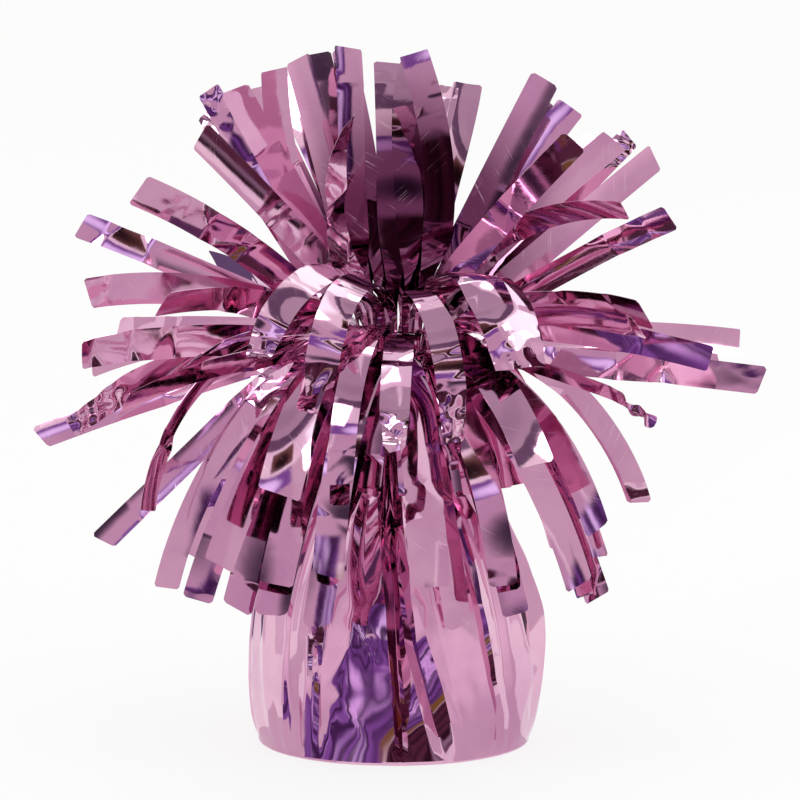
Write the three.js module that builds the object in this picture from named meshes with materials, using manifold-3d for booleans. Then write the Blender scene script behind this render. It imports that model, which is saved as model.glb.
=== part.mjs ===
import Module from 'manifold-3d';
import * as THREE from 'three';
import { mergeVertices } from 'three/addons/utils/BufferGeometryUtils.js';

// A table-top balloon weight: a filled bell in a sheet of pleated metallised film, tied at the neck,
// with a spray of film strips above the tie. Millimetres, +Z up, front towards -Y.
// The origin is the middle of the flat face that it stands on.

const wasm = await Module();
wasm.setup();

// Film and fits. Real film is a few hundredths thick, so these walls stand in for it.
const FILM = 0.4;
const STRIP_FILM = 0.3;
const CLEARANCE = 0.3;

// The weight inside: a bell that follows the wrap, open at the bottom, where a plate closes it.
const BELL_HEADROOM = 5.5;
const BELL_WALL = 1.6;
const PLATE_THICKNESS = 2;
const PLATE_LEDGE = 0.8;

// The wrap: flat floor, hem, belly, shoulder drawn in to the neck, short collar above the tie.
const BASE_RADIUS = 25.4;
const HEM_HEIGHT = 3;
const HEM_SWELL = 1.2;
const BELLY_RADIUS = 28;
const BELLY_HEIGHT = 20;
const SHOULDER_HEIGHT = 45;
const SHOULDER_RADIUS = 20.6;
const BODY_FALL = 1.6;
const NECK_RADIUS = 4.5;
const NECK_HEIGHT = 66.5;
const COLLAR_LENGTH = 13.5;
const PLEAT_DEPTH = 1.1;
// Compass bearings of the pleats' ridges, counted from +X towards +Y. The front is at 270.
const PLEAT_RIDGES = [
  8, 25, 38, 55, 71, 84, 101, 118, 131, 149, 164, 181, 199,
  219, 238, 251, 263, 270, 277, 284, 303, 326, 345,
];
const PLEAT_VALLEY_SHARE = 0.35;

// The fringe: five lengths deep round the neck, each an uncut band with strips slit above it.
const STRIP_LENGTH = 63.5;
const SKIRT_STRIP_LENGTH = 30;
const STRIP_WIDTH = 5.6;
const STRIP_STEPS = 8;
const STRIP_STEP_GROWTH = 1.6;
const STRIP_TAPER = 18;
const STALK_LENGTH = 10;
const BEND_RADIUS = 10;
const ROOT_FILL = 0.8;
const ROOT_SINK = 1.4;
const BAND_GAP = 0.5;
const BAND_COLLAR = 3.5;
const BAND_RISE = 3.5;
const BAND_FLARE = 0.5;
const BAND_FLARE_STEP = 1.3;
const BAND_STEP_DEGREES = 15;

// The tie: a wire twist tie pulled round the bands' collars, its tail twisted from two strands.
const TIE_WIRE = 1;
const TIE_TAIL_LENGTH = 9;
const TIE_TAIL_BEARING = 97.5;
const STRAND_RADIUS = 0.7;
const STRAND_OFFSET = 0.5;
const STRAND_TURNS = 1.5;

// Heights that follow from the neck.
const COLLAR_TOP = NECK_HEIGHT + COLLAR_LENGTH;
const BAND_BOTTOM = NECK_HEIGHT + BAND_GAP;
const BAND_FLARE_START = BAND_BOTTOM + BAND_COLLAR;
const BAND_TOP = BAND_FLARE_START + BAND_RISE;
const TIE_HEIGHT = BAND_FLARE_START - CLEARANCE - 1.2 * TIE_WIRE;
const BELL_TOP = NECK_HEIGHT - BELL_HEADROOM;

// Tiers from the middle outwards, each flaring BAND_FLARE_STEP further than the last. A strip runs straight for
// stalk, a share of STALK_LENGTH, and then bends over at bend, a share of BEND_RADIUS. Angles are in degrees.
const TIERS = [
  { name: 'crown', perSector: 5, length: STRIP_LENGTH, stalk: 1, bend: 0.9, rise: 55, droop: 8 },
  { name: 'upper', perSector: 6, length: STRIP_LENGTH, stalk: 0.7, bend: 0.8, rise: 42, droop: 14 },
  { name: 'middle', perSector: 6, length: STRIP_LENGTH, stalk: 0.45, bend: 0.7, rise: 14, droop: 25 },
  { name: 'lower', perSector: 6, length: STRIP_LENGTH, stalk: 0.35, bend: 0.7, rise: -25, droop: 35 },
  { name: 'skirt', perSector: 6, length: SKIRT_STRIP_LENGTH, stalk: 0.1, bend: 0.5, rise: -62, droop: 20 },
];
const FULL_TURN = 360;
const SECTORS = ['right', 'back', 'left', 'front'];
const SECTOR_SPAN = FULL_TURN / SECTORS.length;
const sectorStart = (sector) => (sector - 0.5) * SECTOR_SPAN;

// Strips whose lie shows: [slot, heading, rise, droop, sway, roll, twist, width]. Slots count round from the
// right sector's first. Angles are in degrees: heading as for the pleats, rise above level once the strip has
// bent over, droop and sway the turns down and sideways from there to the tip, roll and twist about its length.
// Width is a share of STRIP_WIDTH.
const LIE = {
  crown: [
    [0, -40, 46, 5, 0, -60, 10, 1],
    [1, -34, 54, 58, 0, -50, 10, 1],
    [2, 22, 41, 6, 0, 80, 0, 1],
    [3, 31, 60, 2, 0, 55, 0, 1.07],
    [4, 33, 49, 4, 0, 55, 0, 1.04],
    [5, -10, 67, -52, -40, -72, 40, 1.05],
    [6, -48, 73, -66, -60, -36, 60, 1.1],
    [7, 93, 99, 56, 0, 0, 0, 1.15],
    [8, 131, 85, 17, 0, -39, 0, 0.83],
    [9, 134, 77, 8, 0, -42, 0, 0.88],
    [10, 138, 71, 2, 0, -66, 0, 0.93],
    [11, 150, 88, 2, 0, -78, 0, 0.96],
    [12, 200, 54, -34, 0, 88, 0, 0.93],
    [13, 202, 60, 0, 0, 85, 0, 1.04],
    [14, 213, 46, 4, 0, 70, 0, 0.96],
    [15, 230, 52, 2, 62, 60, 0, 1],
    [16, 238, 40, 100, 0, -34, 0, 1.07],
    [17, 248, 40, 126, 0, -22, 0, 1.14],
    [18, 286, 0, 96, 0, 12, 0, 1.0],
    [19, 299, 46, 116, 0, 4, 0, 2.15],
  ],
  upper: [
    [0, -44, 22, 30, 0, -50, 0, 1.25],
    [1, -20, 0, 12, 0, -75, 0, 0.96],
    [2, -32, 29, 4, 0, -65, 0, 0.93],
    [3, 20, 38, 2, 0, 80, 0, 0.96],
    [4, 26, 43, 2, 0, 48, 0, 0.96],
    [5, 38, 43, 4, 0, 55, 0, 0.96],
    [6, 34, 64, 20, 16, 56, -16, 0.96],
    [7, 46, 80, 44, 36, 46, -36, 1.05],
    [8, 50, 87, 52, 30, 38, -30, 1.1],
    [9, 132, 86, 48, -34, -42, 34, 1.1],
    [10, 138, 75, 30, -8, -46, 8, 1.0],
    [11, 135, 62, 12, 0, -46, 0, 0.96],
    [12, 143, 50, 2, 0, -55, 0, 0.96],
    [13, 152, 58, 2, 0, -68, 0, 0.89],
    [14, 172, 20, 0, 0, -60, 0, 0.96],
    [15, 208, 24, 30, 0, 75, 0, 1.11],
    [16, 213, 46, 24, 0, 65, 0, 1.14],
    [17, 230, 22, 24, 0, 60, 0, 1],
    [18, 233, 12, 22, 0, 30, 0, 1],
    [19, 247, -14, 46, 0, -28, 0, 1.45],
    [20, 258, 12, 92, 0, -8, 0, 0.9],
    [21, 268, 8, 58, 0, 4, 0, 1.0],
    [22, 298, -4, 46, 0, 24, 0, 1.2],
    [23, 317, 18, 28, 0, -50, 0, 1],
  ],
  middle: [
    [0, -46, -2, 14, 0, -60, 0, 0.61],
    [1, -50, -30, 34, 0, 50, 0, 0.64],
    [2, 14, 5, 14, 0, 60, 0, 1],
    [3, 20, -2, 12, 0, 70, 0, 1],
    [4, 23, -18, 54, 0, -60, 0, 0.89],
    [5, 50, 5, 30, 0, 60, 0, 1],
    [12, 144, 0, 6, 0, -70, 0, 1],
    [13, 152, 4, 26, 0, -70, 0, 1],
    [14, 205, 4, 38, 0, 70, 20, 1],
    [15, 216, 12, 20, 0, 70, 0, 1.14],
    [16, 215, 15, 105, 0, 60, 0, 0.79],
    [17, 226, 4, 22, 0, 55, 0, 1],
    [18, 231, -34, 28, 0, -50, 0, 1.05],
    [19, 241, -40, 28, 0, -35, 0, 1.15],
    [20, 252, -20, 66, 0, -14, 0, 1.05],
    [21, 278, -36, 34, 0, 22, 0, 1.35],
    [22, 297, -34, 42, 0, 20, 0, 0.98],
    [23, 314, -8, 60, 0, 55, 0, 0.85],
  ],
  lower: [
    [0, -50, -40, 25, 0, 50, 0, 0.61],
    [1, -42, -50, 16, 0, 50, 0, 0.89],
    [2, -8, -3, 3, 0, 66, 0, 1],
    [3, 42, -56, 12, 0, -50, 0, 0.89],
    [4, 42, -50, 18, 0, -50, 0, 0.96],
    [5, 48, -48, 20, 0, -50, 0, 0.96],
    [12, 138, -50, 18, 0, 50, 0, 1],
    [13, 146, -50, 18, 0, 50, 0, 1],
    [14, 190, -14, 6, 0, -60, 0, 0.88],
    [15, 204, -40, 0, 0, -52, 0, 0.86],
    [16, 204, -40, 34, 0, -46, 0, 0.89],
    [17, 223, -44, 24, 0, -40, 0, 1.04],
    [18, 228, -50, 20, 0, -55, 0, 1.04],
    [19, 235, -50, 20, 0, -45, 0, 1.15],
    [20, 239, -60, 14, 0, -22, 0, 0.96],
    [21, 296, -62, 10, 0, 44, 0, 0.96],
    [22, 302, -48, 20, 0, 36, 0, 0.9],
    [23, 312, -32, 34, 0, 50, 0, 0.95],
  ],
  skirt: [
    [0, -44, -66, 4, 0, 40, 0, 0.93],
    [1, -40, -67, 2, 0, 45, 0, 0.89],
    [2, -34, -68, 2, 0, 45, 0, 0.89],
    [3, 36, -68, 2, 0, -45, 0, 0.89],
    [4, 40, -67, 4, 0, -45, 0, 0.96],
    [5, 46, -66, 4, 0, -45, 0, 0.96],
    [12, 138, -66, 4, 0, 45, 0, 0.96],
    [13, 144, -67, 4, 0, 45, 0, 0.93],
    [14, 150, -68, 2, 0, 45, 0, 0.89],
    [15, 208, -68, 4, 0, -50, 0, 0.89],
    [16, 214, -67, 4, 0, -45, 0, 1],
    [17, 222, -66, 4, 0, -40, 0, 1],
    [18, 232, -66, 4, 0, -30, 0, 1],
    [19, 240, -67, 4, 0, -25, 0, 1],
    [20, 252, -67, 4, 0, -12, 0, 0.96],
    [21, 279, -68, 2, 0, 8, 0, 0.96],
    [22, 294, -67, 4, 0, 25, 0, 1],
    [23, 306, -66, 6, 0, 30, 0, 0.96],
  ],
};

const DEGREE = Math.PI / 180;
const WELD = 1e-5;
const ease = (t) => {
  const u = Math.min(1, Math.max(0, t));
  return u * u * (3 - 2 * u);
};
const chance = (n) => {
  const x = Math.sin(n * 12.9898) * 43758.5453;
  return x - Math.floor(x);
};

// A closed mesh from plain point and triangle lists.
function closedMesh(points, triangles) {
  const geometry = new THREE.BufferGeometry();
  geometry.setAttribute('position', new THREE.Float32BufferAttribute(points.flat(), 3));
  geometry.setIndex(triangles.flat());
  return geometry;
}

function toSolid(geometry) {
  const bare = geometry.clone();
  bare.deleteAttribute('normal');
  bare.deleteAttribute('uv');
  const merged = mergeVertices(bare, WELD);
  return new wasm.Manifold(new wasm.Mesh({
    numProp: 3,
    vertProperties: new Float32Array(merged.attributes.position.array),
    triVerts: new Uint32Array(merged.index.array),
  }));
}

function toGeometry(solid) {
  const mesh = solid.getMesh();
  const geometry = new THREE.BufferGeometry();
  geometry.setAttribute('position', new THREE.BufferAttribute(mesh.vertProperties, 3));
  geometry.setIndex(new THREE.BufferAttribute(mesh.triVerts, 1));
  geometry.computeVertexNormals();
  return geometry;
}

const join = (geometries) => toGeometry(geometries.map(toSolid).reduce((whole, next) => whole.add(next)));

// A closed solid of revolution about Z from [radius, height] points.
function turned(profile, segments = 30) {
  const points = profile.map(([r, z]) => new THREE.Vector2(r, z));
  const geometry = new THREE.LatheGeometry(points, segments);
  geometry.rotateX(Math.PI / 2);
  return geometry;
}

// The wrap's outline as [height, mean radius, pleat depth as a share of PLEAT_DEPTH].
const bodyRow = (share, depth) => [
  BELLY_HEIGHT + (SHOULDER_HEIGHT - BELLY_HEIGHT) * share,
  BELLY_RADIUS - (BELLY_RADIUS - SHOULDER_RADIUS) * share ** BODY_FALL,
  depth,
];
const shoulderRow = (share, drawnIn, depth) => [
  SHOULDER_HEIGHT + (NECK_HEIGHT - SHOULDER_HEIGHT) * share,
  SHOULDER_RADIUS - (SHOULDER_RADIUS - NECK_RADIUS) * drawnIn,
  depth,
];
const HEM_RADIUS = BASE_RADIUS + HEM_SWELL;
const WRAP_OUTLINE = [
  [0, BASE_RADIUS, 0],
  [HEM_HEIGHT, HEM_RADIUS, 0.3],
  [HEM_HEIGHT + (BELLY_HEIGHT - HEM_HEIGHT) * 0.35, HEM_RADIUS + (BELLY_RADIUS - HEM_RADIUS) * 0.57, 0.4],
  bodyRow(0, 0.45),
  bodyRow(0.28, 0.45),
  bodyRow(0.64, 0.5),
  bodyRow(1, 0.8),
  shoulderRow(0.46, 0.41, 1),
  shoulderRow(0.7, 0.61, 0.9),
  shoulderRow(0.86, 0.78, 0.6),
  shoulderRow(0.95, 0.96, 0.3),
  shoulderRow(1, 1, 0.2),
  [COLLAR_TOP, NECK_RADIUS, 0.2],
];

// One bearing and one fold, +1 on a ridge and -1 in a valley, for each column of the wrap.
function pleatColumns() {
  return PLEAT_RIDGES.flatMap((ridge, i) => {
    const next = PLEAT_RIDGES[(i + 1) % PLEAT_RIDGES.length] + (i + 1 === PLEAT_RIDGES.length ? FULL_TURN : 0);
    return [[ridge, 1], [ridge + (next - ridge) * PLEAT_VALLEY_SHARE, -1]];
  });
}

// A ring of the wrap, as plan points, pleated to a depth that is a share of PLEAT_DEPTH.
function wrapRing(radius, depth) {
  return pleatColumns().map(([bearing, fold]) => {
    const r = radius + fold * depth * PLEAT_DEPTH;
    return new THREE.Vector2(r * Math.cos(bearing * DEGREE), r * Math.sin(bearing * DEGREE));
  });
}

function foilWrap() {
  const count = 2 * PLEAT_RIDGES.length;
  const ring = (radius, depth, z) => wrapRing(radius, depth).map(({ x, y }) => [x, y, z]);
  const outer = WRAP_OUTLINE.map(([z, radius, depth]) => ring(radius, depth, z));
  const inner = WRAP_OUTLINE.map(([z, radius, depth], i) => ring(radius - FILM, depth, i === 0 ? FILM : z));
  const rings = [...outer, ...inner.reverse()];
  const points = [[0, 0, 0], ...rings.flat(), [0, 0, FILM]];
  const at = (row, column) => 1 + row * count + column % count;
  const last = points.length - 1;
  const triangles = [];
  for (let c = 0; c < count; c += 1) {
    triangles.push([0, at(0, c + 1), at(0, c)]);
    for (let r = 0; r + 1 < rings.length; r += 1) {
      triangles.push([at(r, c), at(r, c + 1), at(r + 1, c + 1)]);
      triangles.push([at(r, c), at(r + 1, c + 1), at(r + 1, c)]);
    }
    triangles.push([last, at(rings.length - 1, c), at(rings.length - 1, c + 1)]);
  }
  return closedMesh(points, triangles);
}

// Bell, plate and fill
const BELL_BOTTOM = FILM + CLEARANCE;
const LEDGE_HEIGHT = BELL_BOTTOM + PLATE_THICKNESS + CLEARANCE;

// The clear radius inside a ring of the wrap: its side that comes nearest to the axis.
function ringRoom(radius, depth) {
  const ring = wrapRing(radius - FILM, depth);
  const axis = new THREE.Vector3();
  return Math.min(...ring.map((a, i) => {
    const b = ring[(i + 1) % ring.length];
    const side = new THREE.Line3(new THREE.Vector3(a.x, a.y, 0), new THREE.Vector3(b.x, b.y, 0));
    return side.closestPointToPoint(axis, true, new THREE.Vector3()).length();
  })) - CLEARANCE;
}

// The clear radius at a height, straight between the outline's rows.
function wrapRoom(z) {
  const row = WRAP_OUTLINE.findIndex(([height]) => height >= z);
  const [low, high] = [WRAP_OUTLINE[row - 1], WRAP_OUTLINE[row]];
  const share = (z - low[0]) / (high[0] - low[0]);
  return ringRoom(low[1], low[2]) * (1 - share) + ringRoom(high[1], high[2]) * share;
}
const BELL_MOUTH_RADIUS = ringRoom(BASE_RADIUS, 0);
const MOUTH_RADIUS = BELL_MOUTH_RADIUS - BELL_WALL + PLATE_LEDGE;

// The bell's outline from its ledge to its top, each point drawn in by inset towards the axis.
function bellOutline(bottom, top, inset) {
  const heights = WRAP_OUTLINE.map(([z]) => z).filter((z) => z > bottom && z < top);
  return [bottom, ...heights, top].map((z) => [wrapRoom(z) - inset, z]);
}

function bell() {
  const roof = BELL_TOP - BELL_WALL;
  const inside = bellOutline(LEDGE_HEIGHT, roof, BELL_WALL);
  const outside = bellOutline(LEDGE_HEIGHT, BELL_TOP, 0);
  return turned([
    [0, roof],
    ...inside.reverse(),
    [MOUTH_RADIUS, LEDGE_HEIGHT],
    [MOUTH_RADIUS, BELL_BOTTOM],
    [BELL_MOUTH_RADIUS, BELL_BOTTOM],
    ...outside,
    [0, BELL_TOP],
  ]);
}

function basePlate() {
  const radius = MOUTH_RADIUS - CLEARANCE;
  return turned([
    [0, BELL_BOTTOM],
    [radius, BELL_BOTTOM],
    [radius, BELL_BOTTOM + PLATE_THICKNESS],
    [0, BELL_BOTTOM + PLATE_THICKNESS],
  ]);
}

function fill() {
  const top = BELL_TOP - BELL_WALL - CLEARANCE;
  return turned([
    [0, LEDGE_HEIGHT],
    ...bellOutline(LEDGE_HEIGHT, top, BELL_WALL + CLEARANCE),
    [0, top],
  ]);
}

// Radii of the nested bands, worked out from the neck outwards.
const bandFlare = (tier) => BAND_FLARE + tier * BAND_FLARE_STEP;
const bandRadius = (tier) => NECK_RADIUS + 0.3 * PLEAT_DEPTH + CLEARANCE + tier * (FILM + CLEARANCE);
const TIE_RING_RADIUS = bandRadius(TIERS.length - 1) + FILM + CLEARANCE + TIE_WIRE;

// A grid of points thickened into a closed sheet: rows[i][j] is { front, back } at one place of the sheet.
function sheetSolid(rows) {
  const wide = rows[0].length;
  const size = rows.length * wide;
  const points = [...rows.flat().map((p) => p.front), ...rows.flat().map((p) => p.back)];
  const triangles = [];
  const quad = (a, b, c, d) => triangles.push([a, b, c], [a, c, d]);
  for (let i = 0; i + 1 < rows.length; i += 1) {
    for (let j = 0; j + 1 < wide; j += 1) {
      const a = i * wide + j;
      quad(a, a + 1, a + wide + 1, a + wide);
      quad(size + a, size + a + wide, size + a + wide + 1, size + a + 1);
    }
  }
  const edge = [];
  for (let j = 0; j + 1 < wide; j += 1) edge.push(j);
  for (let i = 0; i + 1 < rows.length; i += 1) edge.push(i * wide + wide - 1);
  for (let j = wide - 1; j > 0; j -= 1) edge.push((rows.length - 1) * wide + j);
  for (let i = rows.length - 1; i > 0; i -= 1) edge.push(i * wide);
  edge.forEach((a, k) => {
    const b = edge[(k + 1) % edge.length];
    quad(b, a, size + a, size + b);
  });
  return closedMesh(points, triangles);
}

// The uncut band of one fringe length: a flaring arc round the neck.
function band(tier, sector) {
  const flare = bandFlare(tier);
  const inner = bandRadius(tier);
  const gap = CLEARANCE / 2 / inner / DEGREE;
  const steps = Math.round(SECTOR_SPAN / BAND_STEP_DEGREES);
  const levels = [[inner, BAND_BOTTOM], [inner, BAND_FLARE_START], [inner + flare, BAND_TOP]];
  const rows = [];
  for (let i = 0; i <= steps; i += 1) {
    const bearing = (sectorStart(sector) + gap + (SECTOR_SPAN - 2 * gap) * i / steps) * DEGREE;
    rows.push(levels.map(([r, z]) => ({
      front: [r * Math.cos(bearing), r * Math.sin(bearing), z],
      back: [(r + FILM) * Math.cos(bearing), (r + FILM) * Math.sin(bearing), z],
    })));
  }
  return sheetSolid(rows);
}

// Where a strip lies and how it turns: the row from LIE, or a loose lie for a strip that no row gives.
function stripLie(tier, slot) {
  const { name, perSector, rise, droop } = TIERS[tier];
  const row = LIE[name].find(([place]) => place === slot);
  const bearing = sectorStart(0) + (slot + 0.5) * SECTOR_SPAN / perSector;
  if (row) {
    const [, heading, up, down, sway, roll, twist, wide] = row;
    return { bearing, heading, rise: up, droop: down, sway, roll, twist, width: wide * STRIP_WIDTH };
  }
  const seed = tier * 40 + slot;
  const vary = (k, spread) => (chance(seed * 7 + k) - 0.5) * spread;
  return {
    bearing,
    heading: bearing + vary(1, 10),
    rise: rise + vary(2, 22),
    droop: droop + vary(3, 20),
    sway: vary(4, 16),
    roll: 42 + vary(5, 40),
    twist: vary(6, 30),
    width: STRIP_WIDTH * (1 + vary(7, 0.14)),
  };
}

// A strip's stations: its centre line rises along the band, bends over and then droops to the tip.
function stripStations(tier, slot) {
  const { perSector, length } = TIERS[tier];
  const flare = bandFlare(tier);
  const stalk = TIERS[tier].stalk * STALK_LENGTH;
  const { bearing, heading, rise, droop, sway, roll, twist, width } = stripLie(tier, slot);
  const start = Math.atan2(BAND_RISE, flare) / DEGREE;
  const rootRadius = bandRadius(tier) + FILM / 2 + flare * (1 - ROOT_SINK / BAND_RISE);
  const rootWidth = ROOT_FILL * rootRadius * SECTOR_SPAN / perSector * DEGREE;
  const bendLength = TIERS[tier].bend * BEND_RADIUS * Math.abs(start - rise) * DEGREE;
  const freeLength = length - stalk - bendLength;
  const turn = ((heading - bearing + 1.5 * FULL_TURN) % FULL_TURN) - FULL_TURN / 2;
  const place = new THREE.Vector3(
    rootRadius * Math.cos(bearing * DEGREE),
    rootRadius * Math.sin(bearing * DEGREE),
    BAND_TOP - ROOT_SINK,
  );
  const taper = STRIP_TAPER * Math.max(1, width / STRIP_WIDTH);
  const station = (s) => {
    const opened = ease((s - stalk) / taper);
    const bent = ease((s - stalk) / bendLength);
    const free = Math.max(0, (s - stalk - bendLength) / freeLength);
    const up = (start + (rise - start) * bent - droop * free) * DEGREE;
    const way = (bearing + turn * bent + sway * free) * DEGREE;
    const along = new THREE.Vector3(Math.cos(up) * Math.cos(way), Math.cos(up) * Math.sin(way), Math.sin(up));
    const across = new THREE.Vector3(-Math.sin(way), Math.cos(way), 0);
    const rolled = (roll * opened + twist * free) * DEGREE;
    across.applyAxisAngle(along, rolled);
    const face = new THREE.Vector3().crossVectors(across, along);
    const wide = rootWidth + (width - rootWidth) * opened;
    return { along, across, face, wide };
  };
  const distance = (i) => length * (i / STRIP_STEPS) ** STRIP_STEP_GROWTH;
  const stations = [];
  const fine = 8;
  for (let i = 0; i <= STRIP_STEPS; i += 1) {
    const reached = distance(i);
    const step = (distance(i + 1) - reached) / fine;
    stations.push({ ...station(reached), place: place.clone() });
    for (let k = 0; k < fine; k += 1) place.addScaledVector(station(reached + (k + 0.5) * step).along, step);
  }
  return stations;
}

function strip(tier, slot) {
  const rows = stripStations(tier, slot).map(({ place, across, face, wide }) => [-1, 1].map((side) => {
    const edge = place.clone().addScaledVector(across, side * wide / 2);
    return {
      front: edge.clone().addScaledVector(face, STRIP_FILM / 2).toArray(),
      back: edge.clone().addScaledVector(face, -STRIP_FILM / 2).toArray(),
    };
  }));
  return sheetSolid(rows);
}

function fringeLength(tier, sector) {
  const { perSector } = TIERS[tier];
  const pieces = [band(tier, sector)];
  for (let i = 0; i < perSector; i += 1) pieces.push(strip(tier, sector * perSector + i));
  return join(pieces);
}

// The tie: a ring of wire pulled tight round the bands, and its twisted tail laid down the shoulder.
function neckTie() {
  const section = [];
  const sides = 6;
  for (let i = 0; i <= sides; i += 1) {
    const angle = i / sides * 2 * Math.PI;
    section.push([TIE_RING_RADIUS + TIE_WIRE * Math.cos(angle), TIE_HEIGHT + TIE_WIRE * Math.sin(angle)]);
  }
  const bearing = TIE_TAIL_BEARING * DEGREE;
  const slope = Math.atan2(SHOULDER_HEIGHT - NECK_HEIGHT, SHOULDER_RADIUS - NECK_RADIUS);
  const root = new THREE.Vector3(TIE_RING_RADIUS, 0, TIE_HEIGHT);
  const along = new THREE.Vector3(Math.cos(slope), 0, Math.sin(slope));
  const raised = new THREE.Vector3(-along.z, 0, along.x);
  const outline = new THREE.Shape().absarc(0, 0, STRAND_RADIUS, 0, 2 * Math.PI);
  const bends = 8;
  const strand = (phase) => {
    const path = new THREE.CatmullRomCurve3(Array.from({ length: bends + 1 }, (_, i) => {
      const turn = phase + i / bends * STRAND_TURNS * 2 * Math.PI;
      return root.clone()
        .addScaledVector(along, TIE_TAIL_LENGTH * i / bends)
        .addScaledVector(raised, STRAND_OFFSET * Math.cos(turn))
        .add(new THREE.Vector3(0, STRAND_OFFSET * Math.sin(turn), 0));
    }));
    return new THREE.ExtrudeGeometry(outline, { extrudePath: path, steps: 9, curveSegments: 2 }).rotateZ(bearing);
  };
  return join([turned(section, 30), strand(0), strand(Math.PI)]);
}

// Materials
const FILM_PINK = 0xd29bb6;
const FRINGE_PINKS = { crown: 0xc98ab0, upper: 0xd79fbd, middle: 0xb97aa8, lower: 0xe0a9c4, skirt: 0xcf93b4 };
const MOULDED_WHITE = 0xe8e6e0;
const MORTAR_GREY = 0xa9a59c;
const TIE_WHITE = 0xf1e9ec;
const film = (color) => new THREE.MeshStandardMaterial({ color, roughness: 0.15, metalness: 1 });
const plain = (color, roughness) => new THREE.MeshStandardMaterial({ color, roughness, metalness: 0 });

const group = new THREE.Group();
function addPiece(name, geometry, material) {
  const mesh = new THREE.Mesh(geometry, material);
  mesh.name = name;
  group.add(mesh);
}

addPiece('weight_bell', bell(), plain(MOULDED_WHITE, 0.5));
addPiece('base_plate', basePlate(), plain(MOULDED_WHITE, 0.5));
addPiece('mortar_fill', fill(), plain(MORTAR_GREY, 0.95));
addPiece('foil_wrap', foilWrap(), film(FILM_PINK));
addPiece('neck_tie', neckTie(), plain(TIE_WHITE, 0.4));
TIERS.forEach(({ name }, tier) => {
  SECTORS.forEach((side, sector) => {
    addPiece(`fringe_${name}_${side}`, fringeLength(tier, sector), film(FRINGE_PINKS[name]));
  });
});

export default group;
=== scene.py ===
# %% [markdown]
# # A foil balloon weight with its fringe
#
# The real object is a small filled bell in a sheet of pink metallised film. The film is gathered
# and tied at the neck, and lengths of slit film, the fringe, stand and hang round the tie, five deep.
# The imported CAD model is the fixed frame. This lesson makes the film and the fringe again as thin,
# creased sheets over it, gives every part its finish, and sets up the camera and the light.

import math

import bpy
import numpy as np
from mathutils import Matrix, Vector


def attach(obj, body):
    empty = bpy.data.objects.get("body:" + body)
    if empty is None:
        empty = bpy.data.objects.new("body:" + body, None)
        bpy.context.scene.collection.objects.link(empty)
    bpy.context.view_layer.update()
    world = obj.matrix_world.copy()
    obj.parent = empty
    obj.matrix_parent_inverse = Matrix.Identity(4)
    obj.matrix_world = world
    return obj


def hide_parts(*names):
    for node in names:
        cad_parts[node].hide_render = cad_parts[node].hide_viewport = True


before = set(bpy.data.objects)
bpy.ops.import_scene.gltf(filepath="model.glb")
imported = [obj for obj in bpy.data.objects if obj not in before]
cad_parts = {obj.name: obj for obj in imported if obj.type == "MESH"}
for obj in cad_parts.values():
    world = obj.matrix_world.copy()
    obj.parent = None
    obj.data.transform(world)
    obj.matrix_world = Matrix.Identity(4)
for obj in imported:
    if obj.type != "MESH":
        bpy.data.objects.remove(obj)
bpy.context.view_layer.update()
MM = 0.001

# %% [markdown]
# ## Writing a finish as arithmetic
#
# A finish in Blender is a tree of nodes. Here one small class holds a socket of the tree, and plus,
# minus and times on it add the Math node that does the sum. Any other node comes from one method,
# which sets the node's own choices first and then its inputs.

# %% Sockets that can be added and multiplied
class Flow:
    """A number that varies over the surface: an output socket with the operators of arithmetic."""

    def __init__(self, net, socket):
        self.net = net
        self.socket = socket

    def sum(self, operation, first, second=None):
        values = {0: first} if second is None else {0: first, 1: second}
        return self.net.node("ShaderNodeMath", {"operation": operation}, values)

    def __add__(self, other):
        return self.sum("ADD", self, other)

    def __sub__(self, other):
        return self.sum("SUBTRACT", self, other)

    def __rsub__(self, other):
        return self.sum("SUBTRACT", other, self)

    def __mul__(self, other):
        return self.sum("MULTIPLY", self, other)

    def __truediv__(self, other):
        return self.sum("DIVIDE", self, other)

    def __pow__(self, other):
        return self.sum("POWER", self, other)

    def __abs__(self):
        return self.sum("ABSOLUTE", self)

    __radd__ = __add__
    __rmul__ = __mul__

    def most(self, other):
        return self.sum("MAXIMUM", self, other)

    def ramp(self, low, high):
        """0 at low and 1 at high, with a soft step between them. High may be the smaller of the two."""
        return self.net.node(
            "ShaderNodeMapRange",
            {"interpolation_type": "SMOOTHSTEP"},
            {"Value": self, "From Min": low, "From Max": high},
        )


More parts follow.
